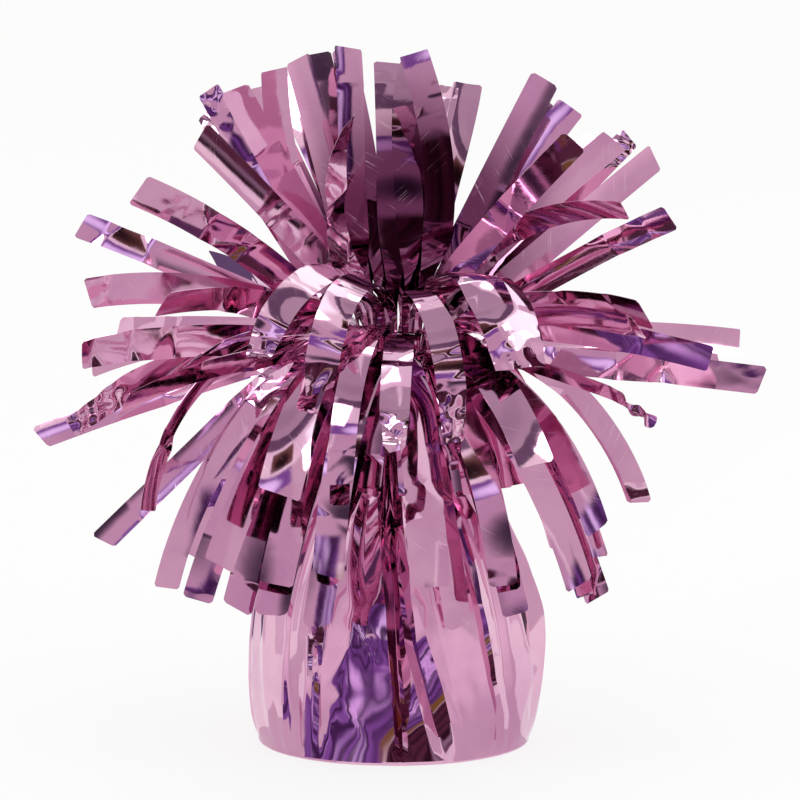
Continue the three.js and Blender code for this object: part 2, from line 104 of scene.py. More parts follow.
class Net:
    """A node tree that nodes are added to by type, settings and inputs."""

    def __init__(self, tree):
        self.tree = tree
        tree.nodes.clear()

    def node(self, kind, settings=None, inputs=None, output=0):
        made = self.tree.nodes.new(kind)
        for name, value in (settings or {}).items():
            setattr(made, name, value)
        for name, value in (inputs or {}).items():
            socket = made.inputs[name]
            if isinstance(value, Flow):
                self.tree.links.new(value.socket, socket)
            else:
                socket.default_value = value
        return Flow(self, made.outputs[output]) if made.outputs else None

    def place(self, centre=(0, 0, 0), turn=(0, 0, 0), stretch=(1, 1, 1), uv=None):
        """Object coordinates, or a UV map's, moved, turned and stretched by a Mapping node."""
        if uv:
            source = self.node("ShaderNodeUVMap", {"uv_map": uv})
        else:
            source = self.node("ShaderNodeTexCoord", output="Object")
        values = {"Vector": source, "Location": centre, "Rotation": turn, "Scale": stretch}
        return self.node("ShaderNodeMapping", {}, values)

    def noise(self, place, scale, detail=2.0, rough=0.5, turbulence=0.0):
        values = {"Vector": place, "Scale": scale, "Detail": detail, "Roughness": rough}
        values["Distortion"] = turbulence
        return self.node("ShaderNodeTexNoise", {}, values)

    def parts(self, vector):
        """The three numbers of a vector."""
        split = self.node("ShaderNodeSeparateXYZ", {}, {0: vector})
        return [Flow(self, socket) for socket in split.socket.node.outputs]

    def angle(self, side, front):
        """The arctangent of side over front, in degrees."""
        return self.node("ShaderNodeMath", {"operation": "ARCTAN2"}, {0: side, 1: front}) * (180 / math.pi)

    def bump(self, height, strength, distance):
        values = {"Strength": strength, "Distance": distance, "Height": height}
        return self.node("ShaderNodeBump", {}, values)

    def seen(self):
        """1 for rays from the camera, also by way of a mirror or through glass, and 0 for the rest."""
        kinds = ["Is Camera Ray", "Is Glossy Ray", "Is Transmission Ray"]
        camera, glossy, through = [self.node("ShaderNodeLightPath", output=kind) for kind in kinds]
        return camera.most(glossy).most(through)

    def blend(self, factor, first, second):
        """A colour between two colours."""
        return self.node("ShaderNodeMix", {"data_type": "RGBA"}, {0: factor, 6: first, 7: second}, output=2)

    def finish(self, shader):
        self.node("ShaderNodeOutputMaterial", {}, {"Surface": shader})


def new_material(name):
    made = bpy.data.materials.new(name)
    made.use_nodes = True
    return made, Net(made.node_tree)


print("Flow and Net are ready")

# %% [markdown]
# ## The film
#
# Real film is polyester a few hundredths of a millimetre thick. It has a vapour of aluminium on one
# side and pink lacquer over it, so it is a mirror that colours what it reflects. The finish is a
# metal with a low roughness. The lacquer is a little uneven, handling has left fine rubbed lines
# and faint cloudy patches, and the film is never quite flat. Those four things vary here.
#
# Deep in the spray the strips mirror each other over and over, and each time some light is lost, so
# the hollow over the neck is nearly black. The real spray is crowded there with small folded bits
# that aren't made one by one, so shade is painted instead: the film's colour is darker inside an
# egg-shaped region over the neck.

# %% The film's finish
FILM_PINK = (0.79, 0.475, 0.62, 1.0)
FILM_DEEP = (0.70, 0.385, 0.56, 1.0)
FILM_RUBBED = (0.86, 0.66, 0.74, 1.0)
# painted shade: the colour the film is darkened to deep in the hollow over the neck
FILM_PAINTED_SHADE = (0.14, 0.026, 0.085, 1.0)
# The painted shade's egg over the neck: its place and half sizes in metres, and where it starts and is
# deepest, as shares of those
HOLLOW_CENTRE = (0.004, 0.007, 0.101)
HOLLOW_SIZE = (0.025, 0.018, 0.026)
HOLLOW_START = 1.4
HOLLOW_CORE = 0.5
HOLLOW_DARK = 0.93
# Scales of the noises, in cycles a metre
DRIFT_SCALE = 55
CLOUD_SCALE = 260
WAVE_SCALE = 130
RUB_SCALES = (2600, 70, 1)
# The film's roughness, what clouds and rubbing add to it, and the bump's strength and distance
FILM_ROUGH = 0.045
CLOUD_ROUGH = 0.05
RUB_ROUGH = 0.16
RUB_HEIGHT = 0.03
FILM_BUMP = (0.25, 0.00015)


def hollow_painted_shade(net):
    """How much painted shade a point gets: how deep it lies in the hollow, from 0 outside to 1 at its core,
    by its distance in egg sizes.
    """
    shift = tuple(-at / size for at, size in zip(HOLLOW_CENTRE, HOLLOW_SIZE))
    from_centre = net.place(centre=shift, stretch=tuple(1 / size for size in HOLLOW_SIZE))
    distance = net.node("ShaderNodeVectorMath", {"operation": "LENGTH"}, {0: from_centre}, output="Value")
    return distance.ramp(HOLLOW_START, HOLLOW_CORE)


def film_finish(name, pink, deep, uv, rub_turn, rub_amount):
    """Pink metallised film with painted shade in the hollow over the neck. Its colour drifts over
    centimetres, and rubbed lines run at rub_turn.
    """
    made, net = new_material(name)
    body = net.place()
    lie = net.place(turn=(0, 0, rub_turn), uv=uv)
    drift = net.noise(body, DRIFT_SCALE, 3, 0.6)
    cloud = net.noise(body, CLOUD_SCALE, 4, 0.62, 0.4)
    lines = net.noise(net.node("ShaderNodeMapping", {}, {"Vector": lie, "Scale": RUB_SCALES}), 1.0, 3)
    rubbed = lines.ramp(0.60, 0.74) * cloud.ramp(0.42, 0.6) * rub_amount
    lacquer = net.blend(drift.ramp(0.35, 0.68), pink, deep)
    # painted shade: the lacquer darkens towards the core of the hollow over the neck
    lacquer = net.blend(hollow_painted_shade(net) * HOLLOW_DARK, lacquer, FILM_PAINTED_SHADE)
    colour = net.blend(rubbed, lacquer, FILM_RUBBED)
    rough = FILM_ROUGH + cloud.ramp(0.4, 0.75) * CLOUD_ROUGH + rubbed * RUB_ROUGH
    height = net.noise(body, WAVE_SCALE, 2, 0.45) + lines * RUB_HEIGHT
    bump = net.bump(height, *FILM_BUMP)
    values = {"Base Color": colour, "Metallic": 1.0, "Roughness": rough, "Normal": bump}
    net.finish(net.node("ShaderNodeBsdfPrincipled", {}, values))
    return made


fringe_film = film_finish("fringe_film_pink", FILM_PINK, FILM_DEEP, "film", 0.9, 0.8)
wrap_film = film_finish("wrap_film_pink", FILM_PINK, FILM_DEEP, "film", 0.35, 0.45)
print("films", fringe_film.name, wrap_film.name)

# %% [markdown]
# ## The parts inside
#
# The moulded bell and its plate, the mortar that fills them, and the twist tie are rigid, so their
# CAD nodes stay. They only need finishes: moulded plastic with a faint flow pattern, mortar with
# grains and pores, and the tie's soft plastic skin.

# %% Finishes of the rigid parts
def plain_finish(name, light, dark, scale, rough, bump_height):
    """A matt finish whose colour, roughness and height follow one noise of the given scale per metre."""
    made, net = new_material(name)
    grain = net.noise(net.place(), scale, 5, 0.6)
    pores = net.noise(net.place(centre=(3, 1, 2)), scale * 4, 2, 0.7)
    colour = net.blend(grain.ramp(0.35, 0.7), light, dark)
    height = grain * 0.7 + pores * 0.3
    bump = net.bump(height, 0.5, bump_height)
    values = {"Base Color": colour, "Roughness": rough + grain * 0.12, "Normal": bump}
    net.finish(net.node("ShaderNodeBsdfPrincipled", {}, values))
    return made


moulded = plain_finish("moulded_white", (0.82, 0.8, 0.76, 1), (0.74, 0.72, 0.68, 1), 120, 0.42, 0.00004)
mortar = plain_finish("mortar_grey", (0.42, 0.40, 0.37, 1), (0.24, 0.23, 0.21, 1), 700, 0.82, 0.0004)
tie_skin = plain_finish("tie_white", (0.86, 0.80, 0.82, 1), (0.74, 0.68, 0.71, 1), 300, 0.32, 0.00005)


def refinish(node, material):
    """Gives a CAD node a finish through its own material slots."""
    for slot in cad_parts[node].material_slots:
        slot.material = material


refinish("weight_bell", moulded)
refinish("base_plate", moulded)
refinish("mortar_fill", mortar)
refinish("neck_tie", tie_skin)
print("rigid parts finished")

# %% [markdown]
# ## Putting a grid of points into a mesh
#
# Every sheet of film below is worked out as a numpy grid: its front, and its back one film's
# thickness behind. A band of faces round the rim closes the two into one thin solid. Blender takes
# the arrays whole, which is quick, and sharp edges are marked wherever two faces meet steeply.

# %% Grids into meshes
SHARP_ANGLE = math.radians(50)


def grid_faces(rows, columns):
    """Quads of a grid whose points are numbered row by row."""
    corner = (np.arange(rows - 1)[:, None] * columns + np.arange(columns - 1)[None, :]).ravel()
    return np.stack([corner, corner + 1, corner + columns + 1, corner + columns], axis=1)


def rim_loop(rows, columns):
    """The points round a grid's edge, in order, with the grid's faces on the left."""
    first = np.arange(columns)
    right = np.arange(1, rows) * columns + columns - 1
    last = (rows - 1) * columns + np.arange(columns - 2, -1, -1)
    left = np.arange(rows - 2, 0, -1) * columns
    return np.concatenate([first, right, last, left])


def grid_normals(points):
    """Unit normals of a grid of points: rows' tangent crossed with columns' tangent, turned forwards."""
    down = np.gradient(points, axis=0)
    over = np.gradient(points, axis=1)
    normal = np.cross(over, down)
    return normal / np.maximum(np.linalg.norm(normal, axis=2, keepdims=True), 1e-12)


def thin_sheet(front, thickness):
    """A closed thin solid: the grid, the same grid one thickness behind it, and the rim between them."""
    rows, columns = front.shape[:2]
    back = front - grid_normals(front) * thickness
    size = rows * columns
    face = grid_faces(rows, columns)
    loop = rim_loop(rows, columns)
    after = np.roll(loop, -1)
    rim = np.stack([after, loop, loop + size, after + size], axis=1)
    points = np.concatenate([front.reshape(-1, 3), back.reshape(-1, 3)])
    return points, np.concatenate([face, face[:, ::-1] + size, rim])


def mesh_piece(name, points, faces, uv, material, nodes):
    """A Blender object from arrays. Faces are rows of four point numbers, and each point has a uv pair."""
    mesh = bpy.data.meshes.new(name)
    mesh.vertices.add(len(points))
    mesh.vertices.foreach_set("co", (points * MM).astype(np.float32).ravel())
    mesh.loops.add(faces.size)
    mesh.loops.foreach_set("vertex_index", faces.astype(np.int32).ravel())
    mesh.polygons.add(len(faces))
    corners = faces.shape[1]
    mesh.polygons.foreach_set("loop_start", np.arange(0, faces.size, corners, dtype=np.int32))
    mesh.polygons.foreach_set("loop_total", np.full(len(faces), corners, dtype=np.int32))
    mesh.polygons.foreach_set("use_smooth", np.ones(len(faces), dtype=bool))
    mesh.update(calc_edges=True)
    layer = mesh.uv_layers.new(name="film")
    layer.data.foreach_set("uv", (uv * MM)[faces.ravel()].astype(np.float32).ravel())
    mesh.validate()
    mesh.set_sharp_from_angle(angle=SHARP_ANGLE)
    made = bpy.data.objects.new(name, mesh)
    bpy.context.scene.collection.objects.link(made)
    mesh.materials.append(material)
    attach(made, "root")
    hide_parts(*nodes)
    return made


print("grid helpers are ready")

# %% [markdown]
# ## The sizes shared with the CAD
#
# These are the sizes of the CAD source, in millimetres, with the same names in a maker's words.
# The fringe is five lengths deep round the neck. Each length is an uncut band with strips slit
# above it, and each strip rises out of its band, bends over and droops to its tip.

# %% Sizes of the neck and the fringe
FILM = 0.4
CLEARANCE = 0.3
NECK_RADIUS = 4.5
PLEAT_DEPTH = 1.1
COLLAR_PLEAT_SHARE = 0.3
STRIP_LENGTH = 63.5
SKIRT_STRIP_LENGTH = 30.0
STRIP_WIDTH = 5.6
STRIP_TAPER = 18.0
ROOT_FILL = 0.8
ROOT_SINK = 1.4
BAND_BOTTOM = 67.0
BAND_FLARE_START = 70.5
BAND_TOP = 74.0
BAND_RISE = BAND_TOP - BAND_FLARE_START
BAND_FLARE = 0.5
BAND_FLARE_STEP = 1.3
STALK_LENGTH = 10.0
BEND_RADIUS = 10.0
TIERS = ["crown", "upper", "middle", "lower", "skirt"]
TIER_STEP = 40
SIDES = ["right", "back", "left", "front"]
SECTOR_SPAN = 360 / len(SIDES)
PER_SECTOR = {"crown": 5, "upper": 6, "middle": 6, "lower": 6, "skirt": 6}
# stalk and bend as shares of STALK_LENGTH and BEND_RADIUS, then the usual rise and droop in degrees
HABIT = {
    "crown": (1.0, 0.9, 55, 8),
    "upper": (0.7, 0.8, 42, 14),
    "middle": (0.45, 0.7, 14, 25),
    "lower": (0.35, 0.7, -25, 35),
    "skirt": (0.1, 0.5, -62, 20),
}
# Strips whose lie shows: slot, heading, rise, droop, sway, roll, twist, width as a share of STRIP_WIDTH
LIE = {}
LIE["crown"] = [
    [0, -40, 46, 5, 0, -60, 10, 1],
    [1, -34, 54, 58, 0, -50, 10, 1],
    [2, 22, 41, 6, 0, 80, 0, 1],
    [3, 31, 60, 2, 0, 55, 0, 1.07],
    [4, 33, 49, 4, 0, 55, 0, 1.04],
    [5, -10, 67, -52, -40, -72, 40, 1.05],
    [6, -48, 73, -66, -60, -36, 60, 1.1],
    [7, 93, 99, 56, 0, 0, 0, 1.15],
    [8, 131, 85, 17, 0, -39, 0, 0.83],
    [9, 134, 77, 8, 0, -42, 0, 0.88],
    [10, 138, 71, 2, 0, -66, 0, 0.93],
    [11, 150, 88, 2, 0, -78, 0, 0.96],
    [12, 200, 54, -34, 0, 88, 0, 0.93],
    [13, 202, 60, 0, 0, 85, 0, 1.04],
    [14, 213, 46, 4, 0, 70, 0, 0.96],
    [15, 230, 52, 2, 62, 60, 0, 1],
    [16, 238, 40, 100, 0, -34, 0, 1.07],
    [17, 248, 40, 126, 0, -22, 0, 1.14],
    [18, 286, 0, 96, 0, 12, 0, 1.0],
    [19, 299, 46, 116, 0, 4, 0, 2.15],
]
LIE["upper"] = [
    [0, -44, 22, 30, 0, -50, 0, 1.25],
    [1, -20, 0, 12, 0, -75, 0, 0.96],
    [2, -32, 29, 4, 0, -65, 0, 0.93],
    [3, 20, 38, 2, 0, 80, 0, 0.96],
    [4, 26, 43, 2, 0, 48, 0, 0.96],
    [5, 38, 43, 4, 0, 55, 0, 0.96],
    [6, 34, 64, 20, 16, 56, -16, 0.96],
    [7, 46, 80, 44, 36, 46, -36, 1.05],
    [8, 50, 87, 52, 30, 38, -30, 1.1],
    [9, 132, 86, 48, -34, -42, 34, 1.1],
    [10, 138, 75, 30, -8, -46, 8, 1.0],
    [11, 135, 62, 12, 0, -46, 0, 0.96],
    [12, 143, 50, 2, 0, -55, 0, 0.96],
    [13, 152, 58, 2, 0, -68, 0, 0.89],
    [14, 172, 20, 0, 0, -60, 0, 0.96],
    [15, 208, 24, 30, 0, 75, 0, 1.11],
    [16, 213, 46, 24, 0, 65, 0, 1.14],
    [17, 230, 22, 24, 0, 60, 0, 1],
    [18, 233, 12, 22, 0, 30, 0, 1],
    [19, 247, -14, 46, 0, -28, 0, 1.45],
    [20, 258, 12, 92, 0, -8, 0, 0.9],
    [21, 268, 8, 58, 0, 4, 0, 1.0],
    [22, 298, -4, 46, 0, 24, 0, 1.2],
    [23, 317, 18, 28, 0, -50, 0, 1],
]
LIE["middle"] = [
    [0, -46, -2, 14, 0, -60, 0, 0.61],
    [1, -50, -30, 34, 0, 50, 0, 0.64],
    [2, 14, 5, 14, 0, 60, 0, 1],
    [3, 20, -2, 12, 0, 70, 0, 1],
    [4, 23, -18, 54, 0, -60, 0, 0.89],
    [5, 50, 5, 30, 0, 60, 0, 1],
    [12, 144, 0, 6, 0, -70, 0, 1],
    [13, 152, 4, 26, 0, -70, 0, 1],
    [14, 205, 4, 38, 0, 70, 20, 1],
    [15, 216, 12, 20, 0, 70, 0, 1.14],
    [16, 215, 15, 105, 0, 60, 0, 0.79],
    [17, 226, 4, 22, 0, 55, 0, 1],
    [18, 231, -34, 28, 0, -50, 0, 1.05],
    [19, 241, -40, 28, 0, -35, 0, 1.15],
    [20, 252, -20, 66, 0, -14, 0, 1.05],
    [21, 278, -36, 34, 0, 22, 0, 1.35],
    [22, 297, -34, 42, 0, 20, 0, 0.98],
    [23, 314, -8, 60, 0, 55, 0, 0.85],
]
LIE["lower"] = [
    [0, -50, -40, 25, 0, 50, 0, 0.61],
    [1, -42, -50, 16, 0, 50, 0, 0.89],
    [2, -8, -3, 3, 0, 66, 0, 1],
    [3, 42, -56, 12, 0, -50, 0, 0.89],
    [4, 42, -50, 18, 0, -50, 0, 0.96],
    [5, 48, -48, 20, 0, -50, 0, 0.96],
    [12, 138, -50, 18, 0, 50, 0, 1],
    [13, 146, -50, 18, 0, 50, 0, 1],
    [14, 190, -14, 6, 0, -60, 0, 0.88],
    [15, 204, -40, 0, 0, -52, 0, 0.86],
    [16, 204, -40, 34, 0, -46, 0, 0.89],
    [17, 223, -44, 24, 0, -40, 0, 1.04],
    [18, 228, -50, 20, 0, -55, 0, 1.04],
    [19, 235, -50, 20, 0, -45, 0, 1.15],
    [20, 239, -60, 14, 0, -22, 0, 0.96],
    [21, 296, -62, 10, 0, 44, 0, 0.96],
    [22, 302, -48, 20, 0, 36, 0, 0.9],
    [23, 312, -32, 34, 0, 50, 0, 0.95],
]
LIE["skirt"] = [
    [0, -44, -66, 4, 0, 40, 0, 0.93],
    [1, -40, -67, 2, 0, 45, 0, 0.89],
    [2, -34, -68, 2, 0, 45, 0, 0.89],
    [3, 36, -68, 2, 0, -45, 0, 0.89],
    [4, 40, -67, 4, 0, -45, 0, 0.96],
    [5, 46, -66, 4, 0, -45, 0, 0.96],
    [12, 138, -66, 4, 0, 45, 0, 0.96],
    [13, 144, -67, 4, 0, 45, 0, 0.93],
    [14, 150, -68, 2, 0, 45, 0, 0.89],
    [15, 208, -68, 4, 0, -50, 0, 0.89],
    [16, 214, -67, 4, 0, -45, 0, 1],
    [17, 222, -66, 4, 0, -40, 0, 1],
    [18, 232, -66, 4, 0, -30, 0, 1],
    [19, 240, -67, 4, 0, -25, 0, 1],
    [20, 252, -67, 4, 0, -12, 0, 0.96],
    [21, 279, -68, 2, 0, 8, 0, 0.96],
    [22, 294, -67, 4, 0, 25, 0, 1],
    [23, 306, -66, 6, 0, 30, 0, 0.96],
]
print("strips with a set lie", sum(len(rows) for rows in LIE.values()))


def band_flare(tier):
    return BAND_FLARE + TIERS.index(tier) * BAND_FLARE_STEP


def band_radius(tier):
    """The inner radius of a tier's band: the collar, then a film and a clearance for each band inside it."""
    collar = NECK_RADIUS + COLLAR_PLEAT_SHARE * PLEAT_DEPTH
    return collar + CLEARANCE + TIERS.index(tier) * (FILM + CLEARANCE)


# %% [markdown]
# ## How one strip lies
#
# A strip's centre line is the sum of many short steps. The direction of each step starts along the
# flare of the band, turns over on a bend, and then droops and sways evenly to the tip. The strip
# also rolls about its own length as it opens. The same formula makes the CAD's strips, so the
# detailed strips lie where the collision model has them.

# %% The lie and the centre line of a strip
def ease(t):
    """The smooth step, 3u² - 2u³ with u kept between 0 and 1."""
    u = np.clip(t, 0.0, 1.0)
    return u * u * (3 - 2 * u)


def chance(n):
    """The fractional part of sin(12.9898 n) times 43758.5453, a fixed scatter between 0 and 1."""
    x = math.sin(n * 12.9898) * 43758.5453
    return x - math.floor(x)


def strip_lie(tier, slot):
    """Bearing of the root, then heading, rise, droop, sway, roll, twist and width, as in the CAD."""
    bearing = -SECTOR_SPAN / 2 + (slot + 0.5) * SECTOR_SPAN / PER_SECTOR[tier]
    for row in LIE[tier]:
        if row[0] == slot:
            return (bearing, *row[1:7], row[7] * STRIP_WIDTH)
    seed = TIERS.index(tier) * TIER_STEP + slot
    rise, droop = HABIT[tier][2:]

    def vary(k, spread):
        return (chance(seed * 7 + k) - 0.5) * spread

    return (
        bearing,
        bearing + vary(1, 10),
        rise + vary(2, 22),
        droop + vary(3, 20),
        vary(4, 16),
        42 + vary(5, 40),
        vary(6, 30),
        STRIP_WIDTH * (1 + vary(7, 0.14)),
    )


def turned_about(vector, axis, angle):
    """Rows of vectors turned about rows of unit axes by an angle in radians each (Rodrigues' formula)."""
    c, s = np.cos(angle)[:, None], np.sin(angle)[:, None]
    along = np.sum(vector * axis, axis=1, keepdims=True)
    return vector * c + np.cross(axis, vector) * s + axis * along * (1 - c)


def strip_line(tier, slot, count=420):
    """Distances along a strip, and at each its centre point, its across and face directions and its width."""
    stalk, bend, _, _ = HABIT[tier]
    length = SKIRT_STRIP_LENGTH if tier == "skirt" else STRIP_LENGTH
    bearing, heading, rise, droop, sway, roll, twist, width = strip_lie(tier, slot)
    flare = band_flare(tier)
    start = math.degrees(math.atan2(BAND_RISE, flare))
    root_radius = band_radius(tier) + FILM / 2 + flare * (1 - ROOT_SINK / BAND_RISE)
    root_width = ROOT_FILL * root_radius * math.radians(SECTOR_SPAN / PER_SECTOR[tier])
    stalk_length = stalk * STALK_LENGTH
    bend_length = bend * BEND_RADIUS * math.radians(abs(start - rise))
    free_length = length - stalk_length - bend_length
    turn = (heading - bearing + 540) % 360 - 180
    taper = STRIP_TAPER * max(1.0, width / STRIP_WIDTH)

    def directions(s):
        opened = ease((s - stalk_length) / taper)
        bent = ease((s - stalk_length) / bend_length)
        free = np.maximum(0.0, (s - stalk_length - bend_length) / free_length)
        up = np.radians(start + (rise - start) * bent - droop * free)
        way = np.radians(bearing + turn * bent + sway * free)
        along = np.stack([np.cos(up) * np.cos(way), np.cos(up) * np.sin(way), np.sin(up)], axis=1)
        level = np.stack([-np.sin(way), np.cos(way), np.zeros_like(way)], axis=1)
        across = turned_about(level, along, np.radians(roll * opened + twist * free))
        return along, across, root_width + (width - root_width) * opened

    s = np.linspace(0.0, length, count)
    middle = (s[1:] + s[:-1]) / 2
    steps = directions(middle)[0] * np.diff(s)[:, None]
    root = np.array([
        root_radius * math.cos(math.radians(bearing)),
        root_radius * math.sin(math.radians(bearing)),
        BAND_TOP - ROOT_SINK,
    ])
    place = root + np.concatenate([np.zeros((1, 3)), np.cumsum(steps, axis=0)])
    along, across, wide = directions(s)
    return s, place, across, np.cross(across, along), wide


print("strip_line gives the lie of", sum(PER_SECTOR.values()) * len(SIDES), "strips")

# %% [markdown]
# ## Creases, curl and crumpled tips
#
# Flat film makes one flat tone, so the look of the fringe comes from how each strip is bent. Four
# things are added to the plain lie, as heights off the sheet. Slow waves run along it. A few
# straight creases cross it at random angles, each a rounded fold. The strip curls a little across
# its width. Near the tips of some strips the film is crushed, a sum of small triangular folds.

# %% Heights off the sheet
FILM_SHOWN = 0.07
ALONG_STEPS = 132
ACROSS_STEPS = 10
HALF_TURN = 3.14
FULL_TURN = 6.28
FRINGE_SEED = 9100
# The distance from one strip to the next on the UV map
STRIP_UV_STEP = 9.0
# Folds at a crushed tip, their height as a share of their length, and how they narrow the strip
CRUSH_FOLDS = 4
CRUSH_HEIGHT = 0.12
CRUSH_NARROWS = 0.22
CRUSH_MOST = 1.3
# How much of its quarter circle a cut corner follows, so that the end keeps some width
CORNER_LEFT = 0.98


def crease(s, w, at, angle, sharpness):
    """A rounded fold: the root of the squared distance to a straight line, plus a squared radius."""
    distance = (s - at) * math.cos(angle) + w * math.sin(angle)
    return np.sqrt(distance**2 + sharpness**2)


def triangle_wave(x):
    """Straight up and down between 0 and 1, once for each whole number."""
    return np.abs((x % 1.0) - 0.5) * 2


def strip_relief(s, w, length, draw, creased, crushed, crush_length):
    """The height off the plain lie at each place of a strip, in millimetres."""
    grown = ease((s - 6) / 14)
    height = np.zeros_like(s)
    for _ in range(2):
        wave_length, shift, size = draw.uniform(26, 60), draw.uniform(0, FULL_TURN), draw.uniform(0.03, 0.1)
        skew = draw.uniform(-0.9, 0.9)
        height += size * np.sin(FULL_TURN * (s + skew * w) / wave_length + shift) * grown
    count = int(draw.integers(2, 5))
    for k in range(count):
        at = draw.uniform(0.14, 0.98) * length
        fold = draw.uniform(0.04, 0.13) * creased * (1 if k % 2 else -1)
        angle = draw.uniform(-1.15, 1.15)
        bent = crease(s, w, at, angle, draw.uniform(0.06, 0.18))
        height += fold * (bent - np.abs(s - at)) + fold * 0.5 * np.exp(-np.abs(s - at) / 4) * 3
    tip = ease((s - (length - crush_length)) / (crush_length * 0.8))
    for _ in range(CRUSH_FOLDS):
        fold_length, angle, shift = draw.uniform(2.4, 6.5), draw.uniform(0, HALF_TURN), draw.uniform(0, 1)
        run = (s * math.cos(angle) + w * math.sin(angle)) / fold_length + shift
        height += crushed * tip * triangle_wave(run) * fold_length * CRUSH_HEIGHT
    return height


# Tips that show: how far the film is crushed and over what length, then how slanted the cut is
# and how round its corners are
TIPS = {
    ("crown", 15): (0.2, 8, 0.0, 0.5),
    ("crown", 16): (1.0, 9, 1.5, 0.4),
    ("crown", 17): (1.0, 8, 2.0, 0.4),
    ("crown", 18): (1.6, 13, 1.0, 0.3),
    ("crown", 19): (0.5, 14, 0.0, 0.1),
    ("upper", 18): (0.2, 8, 0.8, 0.9),
    ("upper", 20): (0.1, 8, 0.4, 0.8),
    ("upper", 21): (1.5, 10, 1.0, 0.6),
    ("upper", 15): (0.1, 8, -1.5, 0.5),
    ("lower", 19): (0.0, 8, 0.6, 1.5),
    ("lower", 20): (0.0, 8, 0.6, 1.5),
    ("lower", 21): (0.1, 8, 0.5, 1.6),
    ("middle", 14): (1.6, 16, 0.0, 0.3),
    ("middle", 0): (1.5, 14, 0.5, 0.3),
}


def strip_surface(tier, slot):
    """A strip's front as a grid of points, with its places along and across the film."""
    number = TIERS.index(tier) * TIER_STEP + slot
    draw = np.random.default_rng(FRINGE_SEED + number)
    line, place, across, face, wide = strip_line(tier, slot)
    length = line[-1]
    width = wide[-1]
    loose_crush = max(0.0, draw.uniform(-3.0, 0.6))
    loose = (loose_crush, draw.uniform(5, 12), draw.uniform(-1.4, 1.4), draw.uniform(0.1, 0.9))
    crushed, crush_length, slant, corner = TIPS.get((tier, slot), loose)
    along = np.linspace(0, 1, ALONG_STEPS + 1)[:, None]
    side = np.linspace(-0.5, 0.5, ACROSS_STEPS + 1)[None, :]
    s = along * (length - abs(slant) / 2 - slant * side)
    end = length - abs(slant) / 2 - slant * side
    near_end = np.clip((s - (end - corner)) / max(corner, 1e-6), 0, 1)
    breadth = np.interp(s, line, wide)
    tip = ease((s - (length - crush_length)) / crush_length)
    half = breadth * (1 - CRUSH_NARROWS * min(crushed, CRUSH_MOST) * tip) / 2
    half = half - np.minimum(corner, width / 2) * (1 - np.sqrt(1 - near_end**2 * CORNER_LEFT))
    w = 2 * side * half
    curl = draw.uniform(-0.05, 0.05) * ease((s - 8) / 14) + 1e-5
    bent_w = np.sin(curl * w) / curl
    rise = (1 - np.cos(curl * w)) / curl
    height = rise + strip_relief(s, w, length, draw, draw.uniform(0.5, 1.5), crushed, crush_length)

    def on_line(values):
        return np.stack([np.interp(s, line, values[:, k]) for k in range(3)], axis=2)

    points = on_line(place) + on_line(across) * bent_w[..., None] + on_line(face) * height[..., None]
    uv = np.stack([w + STRIP_UV_STEP * number, s], axis=2)
    return points, uv


# %% [markdown]
# ## The fringe lengths
#
# Each of the twenty lengths is one piece of film: the uncut band round a quarter of the neck, and
# five or six strips. The band is a flaring arc, worked out as rings of radius and height.

# %% Make the fringe
BAND_SHOWN = 0.2
BAND_COLUMNS = 25
BAND_ROWS = 9
BAND_RIPPLE = 0.08
BAND_RIPPLES = 37
BAND_CURVE = 1.3


def band_surface(tier, sector):
    """A quarter ring that stands up straight and then flares out, as a grid over bearing and height."""
    inner = band_radius(tier)
    gap = CLEARANCE / 2 / inner
    low = math.radians((sector - 0.5) * SECTOR_SPAN) + gap
    bearing = np.linspace(low, low + math.radians(SECTOR_SPAN) - 2 * gap, BAND_COLUMNS)[:, None]
    height = np.linspace(BAND_BOTTOM, BAND_TOP, BAND_ROWS)[None, :]
    opened = np.clip((height - BAND_FLARE_START) / BAND_RISE, 0, 1)
    radius = inner + FILM + band_flare(tier) * opened**BAND_CURVE
    radius = radius + BAND_RIPPLE * np.sin(bearing * BAND_RIPPLES) * opened
    points = np.stack(np.broadcast_arrays(radius * np.cos(bearing), radius * np.sin(bearing), height), axis=2)
    uv = np.stack(np.broadcast_arrays(bearing * inner, height), axis=2)
    return points, uv


def gather(surfaces, thicknesses):
    """Several grids as one mesh's points, faces and UV pairs."""
    points, faces, uvs, count = [], [], [], 0
    for (grid, uv), thickness in zip(surfaces, thicknesses):
        own_points, own_faces = thin_sheet(grid, thickness)
        points.append(own_points)
        faces.append(own_faces + count)
        uvs.append(np.tile(uv.reshape(-1, 2), (2, 1)))
        count += len(own_points)
    return np.concatenate(points), np.concatenate(faces), np.concatenate(uvs)


def cut_area(tier, slots):
    """The film's flat area in square metres: each strip's width summed along it, and the band's rectangle."""
    lines = [strip_line(tier, slot) for slot in slots]
    strips = sum(np.trapz(line[4], line[0]) for line in lines)
    arc = math.radians(SECTOR_SPAN) * (band_radius(tier) + FILM)
    return float((strips + arc * (BAND_TOP - BAND_BOTTOM)) * MM * MM)


def fringe_piece(tier, sector):
    """One fringe length: its band and its strips."""
    slots = [sector * PER_SECTOR[tier] + k for k in range(PER_SECTOR[tier])]
    surfaces = [band_surface(tier, sector)] + [strip_surface(tier, slot) for slot in slots]
    points, faces, uv = gather(surfaces, [BAND_SHOWN] + [FILM_SHOWN] * len(slots))
    node = f"fringe_{tier}_{SIDES[sector]}"
    made = mesh_piece(f"film_{node}", points, faces, uv, fringe_film, [node])
    length = SKIRT_STRIP_LENGTH if tier == "skirt" else STRIP_LENGTH
    widths = sum(strip_lie(tier, slot)[7] for slot in slots)
    flat = (widths * MM, (length + BAND_TOP - BAND_BOTTOM) * MM)
    cut_area(tier, slots)
    return made


fringe = [fringe_piece(tier, sector) for tier in TIERS for sector in range(len(SIDES))]
print("fringe lengths", len(fringe), "faces", sum(len(piece.data.polygons) for piece in fringe))

